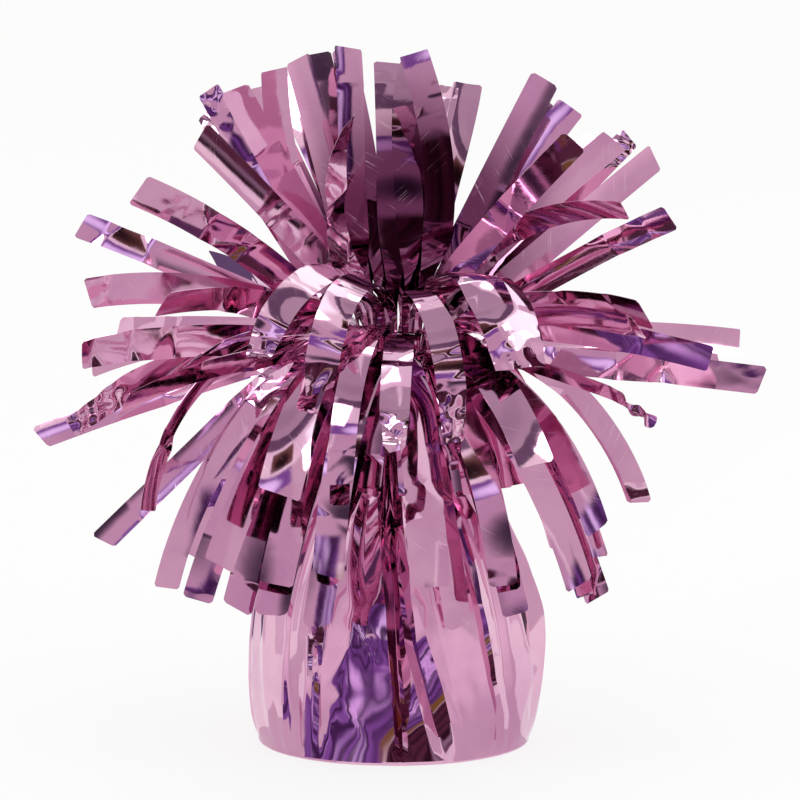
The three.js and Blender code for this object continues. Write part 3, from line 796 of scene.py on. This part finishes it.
# %% [markdown]
# ## The wrap
#
# The wrap is one sheet drawn up round the bell and tied. Its folds run from the neck to the hem,
# so the surface is worked out from fold lines. Each line has a place and a depth at eight heights:
# out for a ridge, in for a valley. Straight pieces of film join one line to the next, which gives
# the flat panels and narrow dark pleats of gathered film. The front lines are placed one by one,
# seen from the front, and the rest follow a formula.

# %% The wrap's outline
NECK_HEIGHT = 66.5
COLLAR_TOP = 80.0
# Height and radius
OUTLINE = np.array([
    [0, 26.4], [1.2, 26.9], [3.5, 27.5], [8, 28.0], [12, 28.2], [20, 28.0], [26, 27.3], [31, 26.0],
    [36, 24.4], [45, 20.6], [54.9, 14.0], [60.05, 10.8], [63.5, 8.04], [65.4, 5.14],
    [NECK_HEIGHT, NECK_RADIUS], [COLLAR_TOP, NECK_RADIUS],
])
OUTLINE_SOFTENING = np.linspace(-1.6, 1.6, 9)


def wrap_radius(z):
    """The mean radius at a height, straight between the outline's rows and then smoothed a little."""
    total = sum(np.interp(np.clip(z + d, 0, COLLAR_TOP), *OUTLINE.T) for d in OUTLINE_SOFTENING)
    return total / len(OUTLINE_SOFTENING)


# %% The wrap's fold lines
FOLD_HEIGHTS = np.array([0.5, 8.0, 15.5, 23.5, 31.0, 39.0, 47.0, 55.0])
# Each front line: how far right of the middle it is at the eight heights, and how far out or in
FRONT_FOLDS = [
    ([-22.5, -24.5, -25.2, -25.0, -24.0, -21.5, -17.5, -12.5], [0, 0.1, 0.1, 0.2, 0.2, 0.4, 0.6, 0.5]),
    ([-21.2, -22.6, -23.0, -22.9, -21.9, -19.6, -16.3, -11.5], [0, 0, 0, -0.1, -0.2, -0.4, -0.7, -0.6]),
    ([-20.3, -20.9, -21.0, -20.6, -19.9, -18.2, -15.2, -10.5], [0.2, 0.3, 0.2, 0.1, 0.3, 0.5, 0.4, 0.4]),
    ([-19.2, -19.9, -20.5, -19.9, -19.0, -17.0, -14.1, -9.6], [-0.1, -0.3, 0, 0, -0.1, -0.3, -0.5, -0.5]),
    ([-17.6, -18.2, -18.4, -18.2, -17.0, -15.0, -12.4, -8.4], [0, -0.2, 0, 0.2, 0.4, 0.6, 0.8, 0.6]),
    ([-16.9, -17.0, -16.4, -16.2, -15.6, -13.8, -11.2, -7.6], [0.3, 0.5, 0.4, 0.2, 0.3, 0.4, 0.4, 0.3]),
    ([-15.4, -15.4, -15.2, -15.4, -14.9, -13.1, -10.5, -7], [0.1, 0.25, 0.25, -0.3, -0.5, -0.5, -0.6, -0.6]),
    ([-14.4, -14.4, -14.4, -14.3, -13.9, -12.5, -9.8, -6.4], [-0.1, -0.12, -0.12, 0.3, 0.7, 0.8, 0.8, 0.7]),
    ([-13.4, -13.6, -13.9, -13.2, -12.6, -11.4, -9.2, -5.6], [0, 0.1, 0.1, -0.1, -0.3, -0.4, -0.5, -0.6]),
    ([-11.0, -11.8, -12.6, -8.4, -7.6, -8.4, -7.3, -4.6], [0, 0, 0.05, 0.3, 0.3, 0.4, 0.6, 0.5]),
    ([-6.2, -6.5, -6.8, -6.2, -5.9, -6.4, -5.7, -3.9], [0, 0, 0, 0.15, 0.2, 0, -0.4, -0.5]),
    ([0.6, 0, -0.6, -1.1, -1.5, -2.3, -2.9, -3.0], [0, 0.2, 0.2, 0.25, 0.4, 0.5, 0.6, 0.5]),
    ([1.3, 0.8, 0.2, -0.4, -0.8, -1.6, -2.3, -2.4], [-0.2, -0.5, -0.6, -0.7, -0.8, -0.9, -0.8, -0.7]),
    ([1.9, 1.5, 1.1, 0.6, 0.2, -0.6, -1.3, -1.7], [0.1, 0.4, 0.4, 0.4, 0.4, 0.5, 0.6, 0.5]),
    ([3.0, 2.5, 1.9, 1.1, 0.6, -0.1, -0.7, -1.0], [-0.1, -0.3, -0.5, -0.7, -0.8, -0.9, -0.9, -0.7]),
    ([7.6, 5.7, 4.0, 2.1, 1.3, 0.6, 0, -0.3], [0.2, 0.5, 0.5, 0.4, 0.3, 0.4, 0.6, 0.5]),
    ([9.9, 8.0, 6.1, 3.8, 2.2, 1.3, 0.7, 0.4], [-0.1, -0.4, -0.6, -0.7, -0.8, -0.8, -0.8, -0.7]),
    ([12.2, 10.6, 8.9, 6.5, 4.2, 2.9, 2.0, 1.4], [0.2, 0.5, 0.6, 0.6, 0.7, 0.7, 0.8, 0.7]),
    ([14.2, 12.8, 11.2, 9.4, 7.6, 6.0, 4.6, 3.0], [0.1, 0.25, 0.25, 0.2, 0.1, -0.3, -0.7, -0.7]),
    ([16.2, 15.4, 13.6, 13.0, 11.8, 10.4, 8.2, 5.2], [0.1, 0.2, 0.2, 0.2, 0.2, 0.1, 0, -0.2]),
    ([18.6, 19.2, 17.4, 15.9, 14.2, 12.7, 10.3, 6.6], [0, 0.3, 0.5, 0.5, 0.7, 0.8, 0.9, 0.8]),
    ([19.6, 20.0, 18.2, 16.8, 15.0, 13.6, 11.2, 7.4], [0, -0.3, -0.7, -0.8, -0.8, -0.8, -0.9, -0.8]),
    ([20.6, 20.8, 19.2, 17.9, 16.2, 14.8, 12.2, 8.2], [0.1, 0.3, 0.4, 0.5, 0.6, 0.7, 0.8, 0.6]),
    ([21.8, 22.0, 20.9, 20.2, 18.9, 17.0, 14.0, 9.6], [0, 0.1, 0, -0.1, -0.2, -0.5, -0.8, -0.7]),
    ([22.6, 23.0, 22.6, 21.6, 20.4, 18.3, 15.1, 10.6], [0.1, 0.2, 0.3, 0.3, 0.3, 0.5, 0.7, 0.6]),
    ([23.8, 24.8, 25.6, 24.2, 22.3, 19.9, 16.6, 11.6], [0, 0.3, 0.9, 0.6, 0.3, -0.2, -0.5, -0.4]),
    ([24.6, 25.8, 26.6, 26.0, 24.3, 21.6, 17.8, 12.6], [0, 0, 0, 0.1, 0.2, 0.4, 0.5, 0.4]),
]
BACK_FOLD_COUNT = 33
BACK_SEED = 77


def front_lines(heights):
    """Bearings and depths of the front lines: the bearing is 270 plus the arcsine of x over the radius."""
    radius = wrap_radius(FOLD_HEIGHTS)
    bearings, depths = [], []
    for places, depth in FRONT_FOLDS:
        bearing = 270 + np.degrees(np.arcsin(np.clip(np.array(places) / radius, -0.98, 0.98)))
        bearings.append(np.interp(heights, FOLD_HEIGHTS, bearing))
        depths.append(np.interp(heights, FOLD_HEIGHTS, depth))
    return np.array(bearings), np.array(depths)


def back_lines(heights, low, high):
    """Lines that share the arc from low to high, with scatter, deep at the shoulder and shallow below."""
    draw = np.random.default_rng(BACK_SEED)
    share = (np.arange(BACK_FOLD_COUNT) + 1) / (BACK_FOLD_COUNT + 1)
    share = share + draw.uniform(-0.26, 0.26, BACK_FOLD_COUNT) / BACK_FOLD_COUNT
    lean = draw.uniform(-0.3, 0.3, BACK_FOLD_COUNT) / BACK_FOLD_COUNT
    below = 1 - ease(heights / 40)
    bearings = low + (high - low) * (share[:, None] + lean[:, None] * below)
    sign = np.where(np.arange(BACK_FOLD_COUNT) % 2, 1.0, -1.0)
    strength = draw.uniform(0.55, 1.15, BACK_FOLD_COUNT)
    reach = draw.uniform(-6, 30, BACK_FOLD_COUNT)
    shape = 0.18 + 0.82 * ease((heights[None, :] - reach[:, None]) / 26)
    hem = ease(heights / 6)
    return bearings, (sign * strength)[:, None] * shape * hem


def smooth_rows(values, reach):
    """A running mean along the rows, over twice the reach and one."""
    padded = np.pad(values, ((0, 0), (reach, reach)), mode="edge")
    total = np.cumsum(np.pad(padded, ((0, 0), (1, 0))), axis=1)
    return (total[:, 2 * reach + 1:] - total[:, : -2 * reach - 1]) / (2 * reach + 1)


# %% The wrap's surface
SUB_COLUMNS = 5
PANEL_ROUND = 0.3
WRAP_ROWS = 190
COLLAR_ROWS = 14
# Folds are made deeper by this factor below the first height, and it falls to 1 over the second
FOLD_GAIN = 2.0
GAIN_FADE = (26, 20)
# How far in a valley may go over the bell, and how much further above a height, over a run
VALLEY_LIMIT = 0.85
SHOULDER_ROOM = 0.6
SHOULDER_RUN = (28, 20)
NECK_ROOM = 0.8
NECK_RUN = (58, 5)
# Folds shrink with the radius below this one, and at the hem they start at this share
FULL_FOLD_RADIUS = 14
HEM_FOLD_SHARE = 0.2


def wrap_grid():
    """The outer face, a grid of height by column. Between two lines it runs between chord and arc."""
    body = np.linspace(0.0, NECK_HEIGHT, WRAP_ROWS)
    heights = np.concatenate([body, np.linspace(NECK_HEIGHT, COLLAR_TOP, COLLAR_ROWS)[1:]])
    front_bearing, front_depth = front_lines(heights)
    low = front_bearing[-1]
    high = front_bearing[0] + 360
    back_bearing, back_depth = back_lines(heights, low, high)
    bearing = smooth_rows(np.concatenate([front_bearing, back_bearing]), 2)
    depth = smooth_rows(np.concatenate([front_depth, back_depth]), 2)
    radius = wrap_radius(heights)

    def grows(start, run):
        return ease((heights - start) / run)

    drawn_in = np.clip(radius / FULL_FOLD_RADIUS, 0, 1) * ease(heights / 3 + HEM_FOLD_SHARE)
    deepened = FOLD_GAIN - (FOLD_GAIN - 1.0) * grows(*GAIN_FADE)
    deepest = VALLEY_LIMIT + SHOULDER_ROOM * grows(*SHOULDER_RUN) + NECK_ROOM * grows(*NECK_RUN)
    r = radius + np.maximum(depth * deepened, -deepest) * drawn_in
    angle = np.radians(bearing)
    after_angle = np.concatenate([angle[1:], angle[:1] + 2 * math.pi])
    after_r = np.roll(r, -1, axis=0)
    t = (np.arange(SUB_COLUMNS) / SUB_COLUMNS)[None, :, None]
    chord_x = (1 - t) * (r * np.cos(angle))[:, None] + t * (after_r * np.cos(after_angle))[:, None]
    chord_y = (1 - t) * (r * np.sin(angle))[:, None] + t * (after_r * np.sin(after_angle))[:, None]
    arc_r = (1 - t) * r[:, None] + t * after_r[:, None]
    arc_angle = (1 - t) * angle[:, None] + t * after_angle[:, None]
    x = chord_x * (1 - PANEL_ROUND) + arc_r * np.cos(arc_angle) * PANEL_ROUND
    y = chord_y * (1 - PANEL_ROUND) + arc_r * np.sin(arc_angle) * PANEL_ROUND
    x = x.reshape(-1, len(heights))
    y = y.reshape(-1, len(heights))
    z = np.broadcast_to(heights, x.shape)
    return np.stack([x.T, y.T, z.T], axis=2), heights


# Creases that show on the front: how far right, how high, lean, half length, width and height off the sheet
FRONT_CREASES = [
    (-12.4, 7.0, 0.24, 7.0, 1.5, 0.3),
    (-6.4, 7.5, -0.57, 8.5, 1.5, 0.35),
    (-20.2, 7.0, 0.1, 6.5, 0.5, 0.2),
    (-8.6, 18.0, 0.05, 7.0, 1.3, 0.22),
    (-4.0, 20.0, -0.1, 8.0, 1.2, -0.2),
    (6.0, 8.0, -0.75, 5.0, 1.2, 0.3),
    (12.8, 9.0, -0.45, 7.0, 1.2, -0.2),
    (23.0, 16.0, 0.3, 9.0, 2.0, 0.3),
    (22.5, 8.0, -0.5, 6.0, 1.6, -0.25),
]
CREASE_SEED = 415
LOOSE_CREASES = 110
# The radius that turns a place to the right into a bearing, and the one that turns bearings into lengths
BELLY_RADIUS = 28
CREASE_RADIUS = 26


def one_crease(bearing, z, at, high, angle, reach, width, size):
    """A crease at a bearing and a height: it fades away from its line and towards both ends."""
    over = ((bearing - at + math.pi) % (2 * math.pi) - math.pi) * CREASE_RADIUS
    up = z - high
    line = up * math.cos(angle) + over * math.sin(angle)
    off = over * math.cos(angle) - up * math.sin(angle)
    return size * np.exp(-np.abs(off) / width) * np.exp(-((line / reach) ** 2))


def dents(x, y, z):
    """The front's creases and short scattered ones in the panels, as the height off the sheet."""
    draw = np.random.default_rng(CREASE_SEED)
    bearing = np.arctan2(y, x)
    total = np.zeros_like(x)
    for right, *shape in FRONT_CREASES:
        total += one_crease(bearing, z, math.asin(right / BELLY_RADIUS) - math.pi / 2, *shape)
    for _ in range(LOOSE_CREASES):
        at, high = draw.uniform(-math.pi, math.pi), draw.uniform(4, 50)
        angle, reach, width = draw.uniform(-0.7, 0.7), draw.uniform(3, 11), draw.uniform(0.5, 1.6)
        size, side = draw.uniform(0.05, 0.2), 1 if draw.uniform() > 0.5 else -1
        faded = 1 - 0.7 * float(ease((high - 22) / 14))
        total += one_crease(bearing, z, at, high, angle, reach, width, size * side * faded)
    return total


WRAP_SHOWN = 0.12
WRAP_GIRTH = 176
# The rings of the underside as shares of the hem, and how many rows the inner face skips
FLOOR_RINGS = [1.0, 0.75, 0.5, 0.25, 0.02]
INNER_ROW_STEP = 6


def wrap_piece():
    """The wrap: outer face, rim at the collar, inner face one film inside it, and both floors."""
    outer, heights = wrap_grid()
    x, y, z = outer[..., 0], outer[..., 1], outer[..., 2]
    r = np.hypot(x, y)
    grown = ease(z / 4) * (1 - ease((z - 58) / 8))
    push = dents(x, y, z) * grown
    outer = outer + np.stack([x / r, y / r, np.zeros_like(r)], axis=2) * push[..., None]
    r = np.hypot(outer[..., 0], outer[..., 1])
    inner = outer.copy()
    inner[..., :2] *= ((r - WRAP_SHOWN) / r)[..., None]
    inner[0, :, 2] = WRAP_SHOWN
    columns = outer.shape[1]
    under = np.stack([outer[0] * np.array([k, k, 1.0]) for k in FLOOR_RINGS[::-1][:-1]])
    inside = np.stack([inner[0] * np.array([k, k, 1.0]) for k in FLOOR_RINGS[1:]])
    thin = np.unique(np.concatenate([np.arange(0, len(heights), INNER_ROW_STEP), [len(heights) - 1]]))
    rings = np.concatenate([under, outer, inner[thin][::-1], inside])
    rows = len(rings)
    index = np.arange(rows * columns).reshape(rows, columns)
    index = np.concatenate([index, index[:, :1]], axis=1)
    faces = np.stack([index[:-1, :-1], index[:-1, 1:], index[1:, 1:], index[1:, :-1]], axis=2).reshape(-1, 4)
    bottom, top = index[0, :-1], index[-1, :-1]
    points = rings.reshape(-1, 3)
    arc = np.arange(columns) / columns * WRAP_GIRTH
    uv = np.stack([np.broadcast_to(arc, (rows, columns)), rings[..., 2]], axis=2).reshape(-1, 2)
    print("wrap rings", rows, "columns", columns)
    return points, faces, uv, bottom, top


def ring_cap(ring, outward_down):
    """Quads that close a ring of points with an even count, in strips from one side to the other."""
    half = len(ring) // 2
    left, right = ring[:half], ring[half:][::-1]
    quads = np.stack([left[:-1], left[1:], right[1:], right[:-1]], axis=1)
    return quads[:, ::-1] if outward_down else quads


wrap_points, wrap_faces, wrap_uv, wrap_bottom, wrap_top = wrap_piece()
wrap_faces = np.concatenate([wrap_faces, ring_cap(wrap_bottom, True), ring_cap(wrap_top, False)])
wrap = mesh_piece("film_wrap", wrap_points, wrap_faces, wrap_uv, wrap_film, ["foil_wrap"])
print("wrap faces", len(wrap.data.polygons))

# %% [markdown]
# ## Camera, floor and light
#
# The photograph was taken from a little above with a long lens. The floor and the world are plain
# and white. A mirror is only as interesting as what stands round it, so, as in a studio, cards
# stand out of view: violet, amber and near black ones by the camera, pale walls at its sides, slate
# and brown ones over it, and a bright one to the upper right. Below the horizon a card lies on the
# floor. Film shows such a card as a clean tone with a crisp edge, as the photograph does.

# %% The camera
CAMERA_LENS = 209.7
CAMERA_SENSOR = 36.0
CAMERA_PLACE = (0.0012, -0.9, 0.191)
CAMERA_TARGET = (0.0012, 0.0, 0.067)

camera_data = bpy.data.cameras.new("camera")
camera_data.lens = CAMERA_LENS
camera_data.sensor_width = CAMERA_SENSOR
camera = bpy.data.objects.new("camera", camera_data)
camera.location = CAMERA_PLACE
aim = Vector(CAMERA_TARGET) - camera.location
camera.rotation_mode = "QUATERNION"
camera.rotation_quaternion = aim.to_track_quat("-Z", "Y")
bpy.context.scene.collection.objects.link(camera)
bpy.context.scene.camera = camera
print("camera distance", round(aim.length, 3))

# %% The world and the floor
world = bpy.data.worlds.new("white_world")
world.use_nodes = True
bpy.context.scene.world = world
world_net = Net(world.node_tree)
white = world_net.node("ShaderNodeBackground", {}, {"Color": (1.0, 1.0, 1.0, 1.0), "Strength": 1.0})
soft = world_net.node("ShaderNodeBackground", {}, {"Color": (1.0, 0.985, 0.97, 1.0), "Strength": 0.9})
world_light = world_net.node("ShaderNodeMixShader", {}, {0: world_net.seen(), 1: soft, 2: white})
world_net.node("ShaderNodeOutputWorld", {}, {"Surface": world_light})


def stage_object(name, points, faces, material):
    """A floor or card: a plain mesh that isn't part of the object."""
    mesh = bpy.data.meshes.new(name)
    mesh.from_pydata(points.tolist(), [], faces.tolist())
    mesh.materials.append(material)
    made = bpy.data.objects.new(name, mesh)
    bpy.context.scene.collection.objects.link(made)
    return made


FLOOR_GLOW_SHARE = 0.8
FLOOR_RADIUS = 7
FLOOR_CORNERS = 96
FLOOR_DROP = 0.00005
floor_material, floor_net = new_material("pale_floor")
speckle = floor_net.noise(floor_net.place(), 40, 3, 0.5)
floor_shade = floor_net.blend(speckle, (0.93, 0.93, 0.93, 1), (0.95, 0.95, 0.95, 1))
floor_base = floor_net.node("ShaderNodeBsdfPrincipled", {}, {"Base Color": floor_shade, "Roughness": 0.9})
floor_glow = floor_net.node("ShaderNodeEmission", {}, {"Color": (1, 1, 1, 1), "Strength": 1.0})
floor_mix = {0: floor_net.seen() * FLOOR_GLOW_SHARE, 1: floor_base, 2: floor_glow}
floor_net.finish(floor_net.node("ShaderNodeMixShader", {}, floor_mix))
turn = np.linspace(0, 2 * math.pi, FLOOR_CORNERS + 1)[:-1]
floor_points = np.stack([np.cos(turn), np.sin(turn), np.zeros_like(turn)], axis=1) * FLOOR_RADIUS
floor_points[:, 2] = -FLOOR_DROP
stage_object("floor", floor_points, np.arange(FLOOR_CORNERS)[None, :], floor_material)

# %% The cards
CARD_DISTANCE = 2.2
STAGE_CENTRE = 0.07
CARD_FLOOR_GAP = 0.0002
CARD_NEARER = 0.01
CARD_LIFT = 0.0001


def card_points(az_low, az_high, el_low, el_high, steps=24):
    """Part of a sphere round the object, down to the floor. Azimuth runs from the camera to the right."""
    azimuth = np.radians(np.linspace(az_low, az_high, steps))[None, :]
    elevation = np.radians(np.linspace(el_low, el_high, steps))[:, None]
    drop = STAGE_CENTRE - CARD_FLOOR_GAP
    to_floor = np.where(elevation < 0, drop / np.maximum(np.sin(-elevation), 1e-6), 1e6)
    distance = np.minimum(CARD_DISTANCE, to_floor)
    flat = distance * np.cos(elevation)
    height = STAGE_CENTRE + distance * np.sin(elevation)
    points = np.broadcast_arrays(flat * np.sin(azimuth), -flat * np.cos(azimuth), height)
    return np.stack(points, axis=2).reshape(-1, 3), grid_faces(steps, steps)


# Each noise of streaks: width and height in degrees, a shift, and where its soft step starts and ends
STREAK_NOISES = [(4.0, 70.0, 0.0, 0.36, 0.62), (5.0, 50.0, 40.0, 0.56, 0.76)]


def card_material(name, az, el, colour, core, core_share, soft_edge, streaks=()):
    """A glowing card that is clear at its edge, with a second colour in its middle and perhaps streaks."""
    made, net = new_material(name)
    x, y, z = net.parts(net.node("ShaderNodeTexCoord", output="Object"))
    azimuth = net.angle(x, y * -1.0)
    elevation = net.angle(z - STAGE_CENTRE, (x * x + y * y) ** 0.5)
    over = abs((azimuth - (az[0] + az[1]) / 2) / ((az[1] - az[0]) / 2))
    up = abs((elevation - (el[0] + el[1]) / 2) / ((el[1] - el[0]) / 2))
    clear = over.most(up).ramp(1 - soft_edge, 1.0)
    middle = (over * over + up * up).ramp(core_share**2, 0.0)
    colour = net.blend(middle, (*colour, 1), (*core, 1))
    for (wide, tall, shift, low, high), streak in zip(STREAK_NOISES, streaks):
        way = net.node("ShaderNodeCombineXYZ", {}, {"X": azimuth / wide + shift, "Y": elevation / tall})
        colour = net.blend(net.noise(way, 1.0, 1, 0.4).ramp(low, high), colour, (*streak, 1))
    glow = net.node("ShaderNodeEmission", {}, {"Color": colour, "Strength": 1.0})
    nothing = net.node("ShaderNodeBsdfTransparent")
    net.finish(net.node("ShaderNodeMixShader", {}, {0: clear, 1: glow, 2: nothing}))
    return made


# Place, azimuths and elevations in degrees, colour, colour in the middle, the middle's share, the
# soft edge's share, and the colours of streaks. Each card is a little nearer than the one before it.
CARDS = [
    ("wall_left", (-90, -24), (-80, 52), (0.70, 0.59, 0.67), (0.94, 0.82, 0.90), 0.7, 0.04),
    ("wall_right", (25, 80), (-80, 52), (0.70, 0.59, 0.67), (0.94, 0.82, 0.90), 0.7, 0.04),
    ("slate", (-25, 35), (6, 48), (0.64, 0.50, 0.62), (0.06, 0.045, 0.075), 0.5, 0.12),
    ("violet_floor", (-41, -4), (-80, -6), (0.25, 0.12, 0.43), (0.85, 0.66, 1.15), 0.55, 0.08,
     [(0.06, 0.022, 0.10), (0.85, 0.75, 1.2)]),
    ("violet", (-32, -5), (-14, 24), (0.20, 0.085, 0.36), (1.1, 1.1, 1.4), 0.5, 0.16,
     [(0.06, 0.022, 0.10), (0.85, 0.8, 1.2)]),
    ("black", (-4, 22), (-80, 14), (0.03, 0.01, 0.02), (0.02, 0.006, 0.012), 0.3, 0.1,
     [(0.10, 0.032, 0.06), (0.30, 0.24, 0.30)]),
    ("amber", (-7, -3), (-80, 9), (0.22, 0.14, 0.035), (0.18, 0.11, 0.03), 0.5, 0.5),
    ("violet_high", (-32, 34), (41, 51), (0.24, 0.12, 0.42), (1.1, 1.1, 1.5), 0.7, 0.2),
    ("brown_high", (0, 34), (50, 61), (0.17, 0.09, 0.07), (0.02, 0.01, 0.012), 0.9, 0.15),
    ("slate_high", (-44, 134), (60, 84), (0.16, 0.11, 0.18), (0.10, 0.075, 0.12), 0.6, 0.1),
    ("bright", (47, 170), (36, 61), (1.5, 1.9, 1.7), (1.6, 2.1, 1.8), 0.5, 0.2),
    ("side_left", (-128, -108), (-20, 60), (0.8, 0.7, 0.78), (0.72, 0.62, 0.7), 0.5, 0.05),
    ("side_right", (100, 118), (-20, 60), (0.8, 0.7, 0.78), (0.72, 0.62, 0.7), 0.5, 0.05),
    ("back", (165, 190), (-29, 45), (0.5, 0.48, 0.52), (0.3, 0.26, 0.36), 0.5, 0.05),
    ("back_left", (-152, -140), (-29, 40), (0.14, 0.1, 0.2), (0.12, 0.08, 0.16), 0.5, 0.1),
    ("back_right", (140, 152), (-29, 40), (0.1, 0.07, 0.09), (0.08, 0.05, 0.06), 0.5, 0.1),
    ("ceiling", (-180, 180), (64, 90), (0.52, 0.46, 0.52), (0.44, 0.38, 0.44), 0.5, 0.04),
]
for step, (place, az, el, *look) in enumerate(CARDS):
    points, faces = card_points(*az, *el)
    nearer = 1 - CARD_NEARER * step
    points = points * np.array([nearer, nearer, 1.0]) + np.array([0, 0, CARD_LIFT * step])
    name = f"card_{place}"
    card = stage_object(name, points, faces, card_material(name, az, el, *look))
    card.visible_camera = False
    card.visible_diffuse = False
    card.visible_shadow = False
    card.visible_volume_scatter = False
print("cards", len(CARDS))

# %% The lamps
def soft_box(name, azimuth, elevation, distance, side, power, colour):
    """A square area lamp that looks at the object."""
    data = bpy.data.lights.new(name, "AREA")
    data.shape = "SQUARE"
    data.size = side
    data.energy = power
    data.color = colour
    lamp = bpy.data.objects.new(name, data)
    a, e = math.radians(azimuth), math.radians(elevation)
    away = Vector((math.sin(a) * math.cos(e), -math.cos(a) * math.cos(e), math.sin(e)))
    lamp.location = Vector((0, 0, STAGE_CENTRE)) + away * distance
    lamp.rotation_mode = "QUATERNION"
    lamp.rotation_quaternion = (-away).to_track_quat("-Z", "Y")
    bpy.context.scene.collection.objects.link(lamp)
    return lamp


soft_box("key_lamp", -28, 56, 1.6, 0.42, 2.4, (1.0, 0.97, 1.0))
soft_box("fill_lamp", 52, 48, 1.7, 0.3, 1.1, (1.0, 0.98, 0.95))
soft_box("back_lamp", 170, 60, 1.7, 0.3, 1.0, (1.0, 1.0, 1.0))
bpy.context.scene.view_settings.view_transform = "Standard"
print("lamps set")
